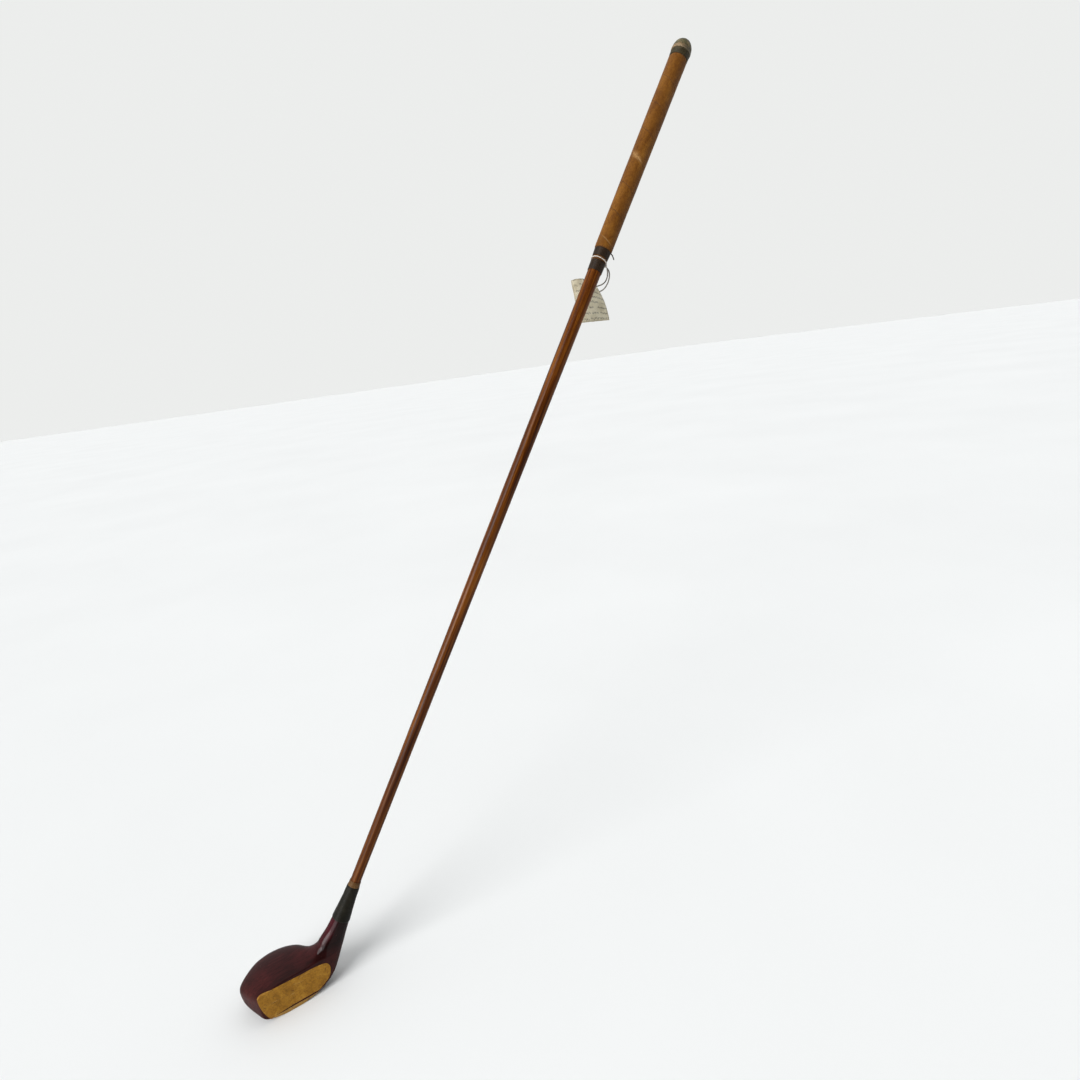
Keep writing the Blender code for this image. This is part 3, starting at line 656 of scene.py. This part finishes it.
def cut(thing, cutter, operation="DIFFERENCE"):
    """Add a Boolean modifier, which baked() applies later."""
    mod = thing.modifiers.new(cutter.name, "BOOLEAN")
    mod.operation = operation
    mod.object = cutter
    mod.solver = "EXACT"


def soften(mesh, voxel, rounds, keep):
    """Remesh to an even grid, round the edges over a little and keep that share of the triangles."""
    thing = loose("soften", mesh)
    remesh = thing.modifiers.new("remesh", "REMESH")
    remesh.mode = "VOXEL"
    remesh.voxel_size = voxel
    smooth = thing.modifiers.new("smooth", "SMOOTH")
    smooth.factor = 0.5
    smooth.iterations = rounds
    thin = thing.modifiers.new("thin", "DECIMATE")
    thin.ratio = keep
    return baked(thing)


def on_face(x, z, proud):
    """A point on the face at a place across it and a height, raised off it by proud."""
    y = SHAFT_FOOT.y - FACE_LEAD + (z - SHAFT_FOOT.z) * math.tan(LOFT)
    return Vector((x, y, z)) + Vector((0.0, -math.cos(LOFT), math.sin(LOFT))) * proud


def make_face_plate():
    """The insert: a flat plate with a softly rounded edge, a hair proud of the wood."""
    rows = [(x * MM, z * MM) for x, z in FACE_OUTLINE]
    closed = smooth_path(rows[-3:] + rows + rows[:3], 8)[24:-17]
    count = len(closed)
    ahead = np.roll(closed, -1, axis=0) - np.roll(closed, 1, axis=0)
    inward = np.column_stack([-ahead[:, 1], ahead[:, 0]]) / np.linalg.norm(ahead, axis=1)[:, None]
    verts = []
    rings = ((0.0, -0.003), (0.0, 0.0), (0.00005, 0.0001), (0.0002, 0.00016), (0.0006, 0.00018))
    for step_in, proud in rings:
        for (x, z), (nx, nz) in zip(closed, inward):
            verts.append(on_face(x + nx * step_in, z + nz * step_in, proud))
    faces = [tuple(range(count))]
    for ring in range(len(rings) - 1):
        for k in range(count):
            a = ring * count + k
            b = ring * count + (k + 1) % count
            faces.append((b, a, a + count, b + count))
    faces.append(tuple((len(rings) - 1) * count + k for k in reversed(range(count))))
    piece("face_plate", verts, faces, tan_fibre(), "club", ("face_insert",), sharp=50)


def make_head():
    ahead = face_block("ahead_of_face", -0.2, 0.0, -0.2, FACE_TOP)
    below = box_block("below_sole", (-0.3, -0.3, -0.3), (0.3, 0.3, 0.0))
    head = head_form("head_form")
    cut(head, ahead)
    cut(head, below)
    mesh = soften(baked(head), HEAD_VOXEL, 3, 0.55)
    dress("head_wood", mesh, cherry_varnish(), "club", ("head",))

    make_face_plate()

    # Sole slip in the leading edge, a hair proud of the face and the sole.
    slip = head_form("slip_form", -0.00008)
    bar = face_block("slip_bar", -0.0001, 0.01, -SHAFT_FOOT.z - 0.00006, SLIP_TOP - SHAFT_FOOT.z,
                     *(x - SHAFT_FOOT.x for x in SLIP_REACH))
    cut(slip, bar, "INTERSECT")
    mesh = soften(baked(slip), SLIP_VOXEL, 1, 0.5)
    dress("slip_strip", mesh, horn(), "club", ("sole_slip",))

    # Lead weight in the back, a hair proud of the wood.
    low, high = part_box("back_weight")
    weight = head_form("weight_form", -0.00012)
    room = box_block("weight_block", low, (high[0], high[1] + 0.01, high[2]))
    cut(weight, room, "INTERSECT")
    mesh = soften(baked(weight), HEAD_VOXEL, 3, 0.7)
    dress("lead_weight", mesh, lead(), "club", ("back_weight",))

    for cutter in (bar, ahead, below, room):
        bpy.data.objects.remove(cutter)
    pegs = peg_wood()
    for name, node in frame["nodes"].items():
        if "_peg_" in name:
            repaint(node, pegs)


def repaint(node, mat):
    node.data.materials.clear()
    node.data.materials.append(mat)


# ---- pieces turned about the shaft ----
def turned(name, profile, mat, replaced=(), sides=96, shape=None, sharp=None, closed=False):
    """Turned about the shaft line from (radius, height) pairs, bottom to top. shape(angle, height) gives a
    small change of radius. A profile that starts or ends on the axis is closed there."""
    verts = []
    rows = []
    for radius, height in profile:
        if radius <= 0.0:
            rows.append([len(verts)])
            verts.append((0.0, 0.0, height))
            continue
        row = []
        for k in range(sides):
            a = 2 * math.pi * k / sides
            r = radius + (shape(a, height) if shape else 0.0)
            row.append(len(verts))
            verts.append((r * math.cos(a), r * math.sin(a), height))
        rows.append(row)
    faces = []
    pairs = list(zip(rows[:-1], rows[1:]))
    if closed:
        pairs.append((rows[-1], rows[0]))
    for low, high in pairs:
        for k in range(sides):
            n = (k + 1) % sides
            if len(low) == 1:
                faces.append((low[0], high[n], high[k]))
            elif len(high) == 1:
                faces.append((low[k], low[n], high[0]))
            else:
                faces.append((low[k], low[n], high[n], high[k]))
    return piece(name, verts, faces, mat, "club", replaced, SHAFT_SPACE, sharp)


def winding(name, outline, wall, pitch, mat, replaced=(), sides=72, per_turn=7, seed=1.0, uneven=0.06):
    """Turns of thread laid side by side. outline is (height, radius) pairs from bottom to top."""
    heights, radii = zip(*outline)
    bottom, top = heights[0], heights[-1]
    turns = (top - bottom) / pitch
    ridge = pitch * 0.34
    count = int(math.ceil((turns + 1) * per_turn)) + 1
    verts = []
    for j in range(count):
        phase = (j / per_turn) % 1.0
        rib = math.sqrt(max(0.0, 1.0 - (2.0 * phase - 1.0) ** 2 * 0.96)) - 1.0
        for k in range(sides):
            share = k / sides
            a = 2 * math.pi * share
            h = bottom + pitch * (j / per_turn - 1.0 + share)
            drift = noise.noise(Vector((seed, 3.0 * math.cos(a), h * 900.0))) * uneven * pitch
            h = min(top, max(bottom, h + drift))
            lump = lumps(a, h, 1.3, 420.0, seed)
            r = float(np.interp(h, heights, radii)) + ridge * rib + lump * pitch * 0.1
            verts.append((r * math.cos(a), r * math.sin(a), h))
    bm = sheet_of(verts, helix_faces(count, sides, per_turn))
    bmesh.ops.remove_doubles(bm, verts=bm.verts, dist=1e-6)
    wall_inwards(bm, lambda z: float(np.interp(z, heights, radii)) - wall)
    return dress(name, mesh_of(bm, name), mat, "club", replaced, SHAFT_SPACE)


SHAFT_HEIGHTS = (0.0385, 0.094, 0.24, 0.42, 0.61, 0.79, 1.0698)
SHAFT_RADII = (0.0037, 0.0054, 0.0057, 0.0063, 0.007, 0.0076, 0.0083)
SHAFT_TIP = 1.0702


def shaft_radius(height):
    return float(np.interp(height, SHAFT_HEIGHTS, SHAFT_RADII))


def make_shaft():
    bottom, top = SHAFT_HEIGHTS[0], SHAFT_HEIGHTS[-1]
    heights = [bottom, *np.arange(0.045, 1.065, 0.0045), top]

    def hand_made(angle, height):
        return lumps(angle, height, 0.8, 26.0) * 0.00009

    profile = [(0.0, bottom)] + [(shaft_radius(h), h) for h in heights] + [(0.0, SHAFT_TIP)]
    turned("shaft_wood", profile, hickory(), ("shaft",), 64, hand_made, 60)


def make_windings():
    dark = waxed_thread("dark_thread", (0.0045, 0.0038, 0.0022), (0.0105, 0.009, 0.0055),
                        (0.026, 0.023, 0.014))
    black = waxed_thread("black_thread", (0.012, 0.0066, 0.0036), (0.026, 0.0145, 0.0075),
                         (0.055, 0.031, 0.016))
    olive = waxed_thread("olive_thread", (0.018, 0.014, 0.0064), (0.044, 0.034, 0.016),
                         (0.085, 0.068, 0.034))
    pale = waxed_thread("pale_thread", (0.045, 0.02, 0.0065), (0.135, 0.068, 0.023),
                        (0.3, 0.19, 0.09))
    winding("neck_thread", [(0.0662, 0.0092), (0.0672, 0.0094), (0.077, 0.0083), (0.09, 0.0071),
                            (0.1002, 0.0067), (0.1012, 0.0064)],
            0.0006, 0.00055, dark, ("neck_whipping",), seed=2.0)
    winding("neck_end_thread", [(0.1013, 0.0062), (0.1019, 0.0064), (0.1027, 0.0061), (0.1066, 0.0059)],
            0.0004, 0.00066, pale, ("whipping_end_ring",), seed=5.0, per_turn=9)
    winding("lower_band_thread", [(0.7988, 0.0079), (0.7993, 0.0082), (0.8102, 0.0084), (0.8106, 0.0081)],
            0.0005, 0.00052, black, ("grip_band_lower",), seed=7.0)
    winding("upper_band_thread", [(0.8152, 0.0086), (0.8157, 0.0089), (0.824, 0.0093), (0.8246, 0.009)],
            0.0005, 0.00052, black, ("grip_band_upper",), seed=9.0)
    winding("butt_thread", [(1.0581, 0.0104), (1.0586, 0.0107), (1.0645, 0.0109), (1.065, 0.0106)],
            0.0008, 0.0006, olive, ("butt_whipping",), seed=11.0)


GRIP_OUTLINE = ((0.8109, 0.00815), (0.8246, 0.0084), (0.8249, 0.0095), (0.8262, 0.0099), (0.95, 0.0103),
                (1.056, 0.0105), (1.0572, 0.0104), (1.0578, 0.01))     # height, radius
THIN_TAIL = 0.8255                # the skived tail ends at this height
SEAM_PITCH = 0.0323
SEAM_HEIGHT = 0.833              # of a seam, at SEAM_ANGLE round the shaft
SEAM_ANGLE = math.radians(-125.0)
# Light scuffs along the seam, which are painted highlights as well as wear: height, angle, offset from the
# seam, width, spread round the grip, strength.
SCUFFS_AND_HIGHLIGHTS = (
    (0.833, -125.0, 0.0002, 0.0006, 0.75, 0.75),
    (0.9325, -150.0, 0.0012, 0.003, 0.45, 1.0),
    (0.93, -118.0, 0.0004, 0.0016, 0.45, 0.85),
)
SCUFF_REACH = 0.022


def scuffed(angle, height, side):
    """How far the leather is rubbed pale, as wear and painted highlight, at a place, side being its distance
    from the seam.
    """
    rub = 0.0
    wrapped = (angle + math.pi) % (2 * math.pi) - math.pi
    for at, middle, wide, tall, spread, much in SCUFFS_AND_HIGHLIGHTS:
        if abs(height - at) < SCUFF_REACH:
            turn_off = (wrapped - math.radians(middle) + math.pi) % (2 * math.pi) - math.pi
            rub += much * math.exp(-((side - wide) / tall) ** 2 - (turn_off / spread) ** 2)
    return rub


def make_grip():
    """The leather strip, wound in a long helix whose butted edges make a shallow seam."""
    heights, radii = zip(*GRIP_OUTLINE)
    bottom, top = heights[0], heights[-1]
    sides = 96
    steps = [0.0, 0.006, 0.012, 0.019, 0.028, *np.linspace(0.045, 0.955, 26), 0.972, 0.981, 0.988, 0.994]
    turns = int((top - bottom) / SEAM_PITCH) + 4
    base = SEAM_HEIGHT + SEAM_PITCH * SEAM_ANGLE / (2 * math.pi) - 2 * SEAM_PITCH
    count = turns * len(steps)
    verts = []
    seam = []
    worn = []
    for j in range(count):
        turn, step = divmod(j, len(steps))
        u = steps[step]
        away = min(u, 1.0 - u) * SEAM_PITCH
        side = u * SEAM_PITCH if u < 0.5 else (u - 1.0) * SEAM_PITCH
        groove = math.exp(-(away / 0.00032) ** 2)
        lip = math.exp(-((away - 0.0011) / 0.0008) ** 2)
        for k in range(sides):
            a = 2 * math.pi * k / sides
            h = base + SEAM_PITCH * (turn + u - k / sides)
            h = min(top, max(bottom, h))
            thick = 1.0 if h > THIN_TAIL else 0.0
            lump = lumps(a, h, 1.0, 60.0)
            fine = lumps(a, h, 4.0, 300.0)
            r = float(np.interp(h, heights, radii))
            r += thick * (-0.00026 * groove + 0.00005 * lip + 0.0001 * lump + 0.00003 * fine)
            verts.append((r * math.cos(a), r * math.sin(a), h))
            seam.append(math.exp(-(away / 0.0005) ** 2) if thick else 1.1)
            worn.append(thick * min(1.0, scuffed(a, h, side)))
    faces = [f for f in helix_faces(count, sides, -len(steps)) if not same_height(verts, f, (bottom, top))]
    bm = sheet_of(verts, faces, seam=seam, worn=worn)
    bmesh.ops.delete(bm, geom=[v for v in bm.verts if not v.link_faces], context="VERTS")
    bmesh.ops.remove_doubles(bm, verts=bm.verts, dist=2e-6)
    wall_inwards(bm, lambda z: shaft_radius(z) + 0.0001)
    dress("grip_strip", mesh_of(bm, "grip_strip"), grip_leather(), "club", ("grip_leather",),
          SHAFT_SPACE)


def same_height(verts, face, levels):
    """True for a face that was flattened onto one end."""
    return any(all(abs(verts[i][2] - level) < 1e-9 for i in face) for level in levels)


def make_butt():
    collar = [(0.0099, 1.0652), (0.0108, 1.0652), (0.0111, 1.0656), (0.0113, 1.0664), (0.0113, 1.068),
              (0.0112, 1.0687), (0.0109, 1.0691), (0.0099, 1.0692)]

    def worn(angle, height):
        return lumps(angle, height, 2, 300) * 0.00012

    turned("butt_collar_ring", collar, collar_leather(), ("butt_collar",), 96, worn, 60,
           closed=True)
    bottom, tip, radius = 1.0692, 1.0812, 0.011
    inside, stem = 1.0584, 0.0096
    dome = [(0.0, inside), (stem, inside), (stem, 1.069), (0.0105, bottom)]
    for a in np.linspace(math.pi / 2, 0.0, 26)[:-1]:
        dome.append((radius * math.sin(a) ** 0.94, bottom + 0.0002 + (tip - bottom - 0.0003) * math.cos(a)))
    dome.append((0.0, tip - 0.0001))

    def dented(angle, height):
        if height < bottom + 0.0005:
            return 0.0
        return lumps(angle, height, 1.6, 260) * 0.00028 * min(1.0, (tip - height) / 0.002)

    turned("butt_dome", dome, aged_cap(), ("butt_cap",), 96, dented, 50)


# ---- string and tag ----
STRING_RADIUS = 0.0006
FLUFF = 1.35                      # the strands are drawn this much thicker, as loose cotton is
RING_RADIUS = 0.009
KNOT_RADIUS = 0.0015
# The strands from the knot through the tag's hole and back: height, out and back in shaft space, in mm.
FRONT_ROUTE = ((811.4, 12.6, -0.5), (809.6, 14.8, 0.4), (807.2, 17.2, 1.6), (804.3, 19.4, 3.5),
               (800.7, 20.6, 6.5), (797.4, 19.6, 9.5), (793.8, 16.2, 12.0), (790.2, 12.4, 13.7),
               (788.0, 10.4, 15.2))
BEHIND_ROUTE = ((788.0, 10.5, 17.0), (789.4, 13.6, 18.8), (791.4, 19.0, 19.9), (793.8, 25.2, 19.9),
                (797.8, 28.6, 18.0), (802.4, 28.6, 14.3), (806.6, 26.3, 10.0), (810.2, 22.6, 6.2),
                (812.2, 17.8, 3.2), (812.4, 13.4, 1.4))


def twisted(path, radius, lay=0.0034, plies=3, sides=7, taper=0.0012):
    """Vertices and faces of a twisted cord along the path: each ply winds round the middle."""
    path = np.asarray(path, dtype=float)
    gone = np.concatenate([[0.0], np.cumsum(np.linalg.norm(np.diff(path, axis=0), axis=1))])
    tangent = np.gradient(path, gone, axis=0)
    tangent /= np.linalg.norm(tangent, axis=1)[:, None]
    side = np.cross(tangent[0], [0.3, 0.9, 0.2])
    side /= np.linalg.norm(side)
    frames = []
    for t in tangent:
        side = side - t * side.dot(t)
        side /= np.linalg.norm(side)
        frames.append((side.copy(), np.cross(t, side)))
    ply = radius * 0.54
    offset = radius - ply
    verts = []
    faces = []
    for p in range(plies):
        start = len(verts)
        for i, (point, (across, over)) in enumerate(zip(path, frames)):
            turn = 2 * math.pi * (gone[i] / lay + p / plies)
            end = min(gone[i], gone[-1] - gone[i])
            size = ply * (0.55 + 0.45 * min(1.0, end / taper)) if taper else ply
            mid = point + (across * math.cos(turn) + over * math.sin(turn)) * offset
            for k in range(sides):
                a = turn + 2 * math.pi * k / sides
                verts.append(mid + (across * math.cos(a) + over * math.sin(a)) * size)
        faces += ring_faces(len(path), sides, start)
        faces.append(tuple(start + k for k in reversed(range(sides))))
        last = start + (len(path) - 1) * sides
        faces.append(tuple(last + k for k in range(sides)))
    return verts, faces


def make_string():
    grey = cotton("cotton_loop", (0.42, 0.38, 0.33), (0.17, 0.15, 0.13))
    white = cotton("cotton_ring", (0.66, 0.6, 0.54), (0.38, 0.33, 0.28))
    route = [on_shaft(*(v * MM for v in row)) for row in FRONT_ROUTE + BEHIND_ROUTE]
    path, length = even_path(route, 0.00035)
    verts, faces = twisted(path, STRING_RADIUS * FLUFF)
    loop = piece("tag_string_loop", verts, faces, grey, "string", ("tag_string",))
    gap = (KNOT_RADIUS * 0.5) / RING_RADIUS
    turns = np.linspace(gap, 2 * math.pi - gap, 160)
    ring = [on_shaft(STRING_HEIGHT + 0.00025 * math.sin(2 * a + 0.6), (RING_RADIUS - 0.0001) * math.cos(a),
                     (RING_RADIUS - 0.0001) * math.sin(a)) for a in turns]
    verts, faces = twisted(ring, STRING_RADIUS, taper=0.0)
    turn = piece("string_ring_turn", verts, faces, white, "string", ("string_ring",))

    # The knot is an overhand knot: a small trefoil of the same cord, pulled tight.
    middle = on_shaft(STRING_HEIGHT, RING_RADIUS + 0.001)
    scale = 0.00046
    knot = []
    for t in np.linspace(0.0, 2 * math.pi, 150)[:-1]:
        x = (math.sin(t) + 2 * math.sin(2 * t)) * scale
        y = (math.cos(t) - 2 * math.cos(2 * t)) * scale
        z = -math.sin(3 * t) * scale * 1.1
        knot.append(middle + ALONG * x + BEHIND * y + OUTWARD * z)
    verts, faces = twisted(knot, STRING_RADIUS, taper=0.0)
    for end in (route[0], route[-1]):
        lead, _ = even_path([middle, middle.lerp(end, 0.5) + ALONG * 0.0002, end], 0.0003)
        more_verts, more_faces = twisted(lead, STRING_RADIUS * 1.1)
        faces += [tuple(i + len(verts) for i in face) for face in more_faces]
        verts += more_verts
    tie = piece("string_knot_tie", verts, faces, white, "string", ("string_knot",))
    make_tag()


def make_tag():
    """The curled paper tag: a thin sheet with a soft wave, a nicked edge and a punched hole."""
    across, down = 56, 68
    top_left = Vector((-0.0214, 0.0, 0.0103))
    top_right = Vector((0.0118, 0.0, 0.0015))
    low_left = Vector((-0.0165, 0.0, -0.0351))
    low_right = Vector((0.0273, 0.0, -0.0352))
    arch, bulge, curl = 0.0048, 0.003, 0.09
    hole = 0.0016
    verts = []
    edges = []
    coords = []
    for row in range(down + 1):
        v = row / down
        for col in range(across + 1):
            u = col / across
            p = top_left.lerp(top_right, u).lerp(low_left.lerp(low_right, u), v)
            p.z += arch * 4 * u * (1 - u) * (1 - v)
            p.x += bulge * 4 * v * (1 - v) * u
            rough = noise.noise(Vector((u * 11, v * 11, 4.0))) * 0.00022
            if u in (0.0, 1.0):
                p.x += rough
            if v in (0.0, 1.0):
                p.z += rough
            p.y = p.x ** 2 / (2 * curl)
            away = math.hypot(p.x, p.z)
            calm = min(1.0, away / 0.012)         # flat round the hole
            wave = noise.noise(Vector((u * 2.1, v * 2.6, 9.0))) * 0.0005
            crease = 0.00016 * math.exp(-((u - 0.36 - 0.1 * v) / 0.018) ** 2)
            p.y += calm * (wave + crease)
            verts.append(p.copy())
            edges.append(max(0.0, 1.0 - min(u, 1 - u, v, 1 - v) * 22.0))
            coords.append((u, 1 - v))
    faces = []
    for row in range(down):
        for col in range(across):
            a = row * (across + 1) + col
            quad = (a, a + across + 1, a + across + 2, a + 1)
            centre = sum((verts[i] for i in quad), Vector()) / 4
            if math.hypot(centre.x, centre.z) > hole:
                faces.append(quad)
    bm = sheet_of(verts, faces, edge=edges)
    layer = bm.verts.layers.float["edge"]
    uv = bm.loops.layers.uv.new("sheet")
    for face, quad in zip(bm.faces, faces):
        for loop, i in zip(face.loops, quad):
            loop[uv].uv = coords[i]
    bmesh.ops.delete(bm, geom=[v for v in bm.verts if not v.link_faces], context="VERTS")
    for vert in bm.verts:      # the hole's ragged rim is drawn onto a circle
        away = math.hypot(vert.co.x, vert.co.z)
        if vert.is_boundary and away < hole * 1.8:
            vert.co.x *= hole / away
            vert.co.z *= hole / away
            vert[layer] = 0.8
    for vert in bm.verts:
        vert.co += TAG_HOLE
    sheet = loose("sheet", mesh_of(bm, "tag_sheet", outward=False))
    thick = sheet.modifiers.new("paper", "SOLIDIFY")
    thick.thickness = 0.00028
    thick.offset = 0.0
    return dress("tag_sheet", baked(sheet), old_paper(), "tag", ("paper_tag",), sharp=50)


# Height, out and back in shaft space, in mm.
LOOSE_ROUTE = ((824.2, 6.0, -5.0), (824.4, 7.3, -6.1), (823.4, 8.6, -7.2), (821.4, 10.1, -8.5),
               (818.8, 11.6, -9.8))


def make_loose_end():
    """The loose end of the upper band's thread, which sticks out from its turns."""
    black = bpy.data.materials["black_thread"]
    route = [on_shaft(*(v * MM for v in row)) for row in LOOSE_ROUTE]
    path, _ = even_path(route, 0.0002)
    verts, faces = twisted(path, 0.00075, lay=0.003, plies=2, sides=8, taper=0.0006)
    piece("loose_thread", verts, faces, black, "club")


# ---- stage, lights and camera ----
def make_stage():
    """A flat pale floor that reaches far beyond the club."""
    look = Look("pale_floor", 0.55, Specular_IOR_Level=0.3)
    haze = look.noise(1.2, 3.0)
    look.set(Base_Color=look.ramp(haze, (0.3, (0.78, 0.785, 0.78)), (0.7, (0.81, 0.815, 0.81))))
    floor_z = cad_box[0][2] - 0.0002
    mesh = bpy.data.meshes.new("floor")
    half = 40.0
    corners = [(-half, -half), (half, -half), (half, half), (-half, half)]
    mesh.from_pydata([(x, y, floor_z) for x, y in corners], [], [(0, 1, 2, 3)])
    mesh.materials.append(look.mat)
    loose("floor", mesh)


def make_world():
    """A white room that is dim on the side the picture is taken from, with a low bright window at its left.
    The backdrop itself is an even pale grey."""
    world = bpy.data.worlds.new("studio")
    bpy.context.scene.world = world
    world.use_nodes = True
    tree = world.node_tree
    add, link = tree.nodes.new, tree.links.new
    room = tree.nodes["Background"]
    where = add("ShaderNodeTexCoord").outputs["Generated"]

    def lobe(direction, near, far, inside, outside):
        """Brightness that goes from inside to outside between two angles, in degrees, from a direction."""
        dot = add("ShaderNodeVectorMath")
        dot.operation = "DOT_PRODUCT"
        link(where, dot.inputs[0])
        dot.inputs[1].default_value = Vector(direction).normalized()
        spread = add("ShaderNodeMapRange")
        spread.interpolation_type = "SMOOTHERSTEP"
        link(dot.outputs["Value"], spread.inputs["Value"])
        spread.inputs["From Min"].default_value = math.cos(math.radians(far))
        spread.inputs["From Max"].default_value = math.cos(math.radians(near))
        spread.inputs["To Min"].default_value = outside
        spread.inputs["To Max"].default_value = inside
        return spread.outputs["Result"]

    dim = lobe((-0.3, -0.9, 0.35), 38, 95, 0.06, 0.95)
    window = lobe((-0.93, -0.36, 0.22), 8, 28, 5.0, 0.0)
    total = add("ShaderNodeMath")
    link(dim, total.inputs[0])
    link(window, total.inputs[1])
    link(total.outputs[0], room.inputs["Strength"])
    room.inputs["Color"].default_value = (0.97, 0.99, 1.0, 1.0)
    backdrop = add("ShaderNodeBackground")
    backdrop.inputs["Color"].default_value = (0.84, 0.85, 0.84, 1.0)
    pick = add("ShaderNodeMixShader")
    link(add("ShaderNodeLightPath").outputs["Is Camera Ray"], pick.inputs[0])
    link(room.outputs[0], pick.inputs[1])
    link(backdrop.outputs[0], pick.inputs[2])
    link(pick.outputs[0], tree.nodes["World Output"].inputs["Surface"])


def make_lights():
    make_world()
    data = bpy.data.lights.new("window_light", "SUN")
    data.energy = 2.65
    data.angle = math.radians(38.0)
    light = loose("window_light", data)
    light.rotation_mode = "QUATERNION"
    light.rotation_quaternion = Vector((0.8, 0.22, -0.56)).to_track_quat("-Z", "Y")
    bpy.context.scene.view_settings.view_transform = "Standard"


def make_camera():
    """At the photograph's viewing angle, which its vanishing points gave."""
    data = bpy.data.cameras.new("camera")
    data.lens = 22.5
    data.sensor_width = 36.0
    forward = Vector((0.48151, 0.83725, -0.25915)).normalized()
    down = Vector((-0.24211, -0.15712, -0.95744)).normalized()
    right = down.cross(forward).normalized()
    up = right.cross(forward).normalized()
    place = Vector((-0.0314, -0.63064, 0.58361)) + SHAFT_FOOT
    data.clip_start = 0.01
    camera = loose("camera", data)
    camera.matrix_world = axes(right, up, -forward, place)
    bpy.context.scene.camera = camera


def main():
    make_camera()
    make_string()
    make_head()
    make_shaft()
    make_windings()
    make_grip()
    make_butt()
    make_loose_end()
    repaint(frame["nodes"]["grip_underlisting"], plain_cloth())
    repaint(frame["nodes"]["grip_brad"], dull_steel())
    make_stage()
    make_lights()


main()
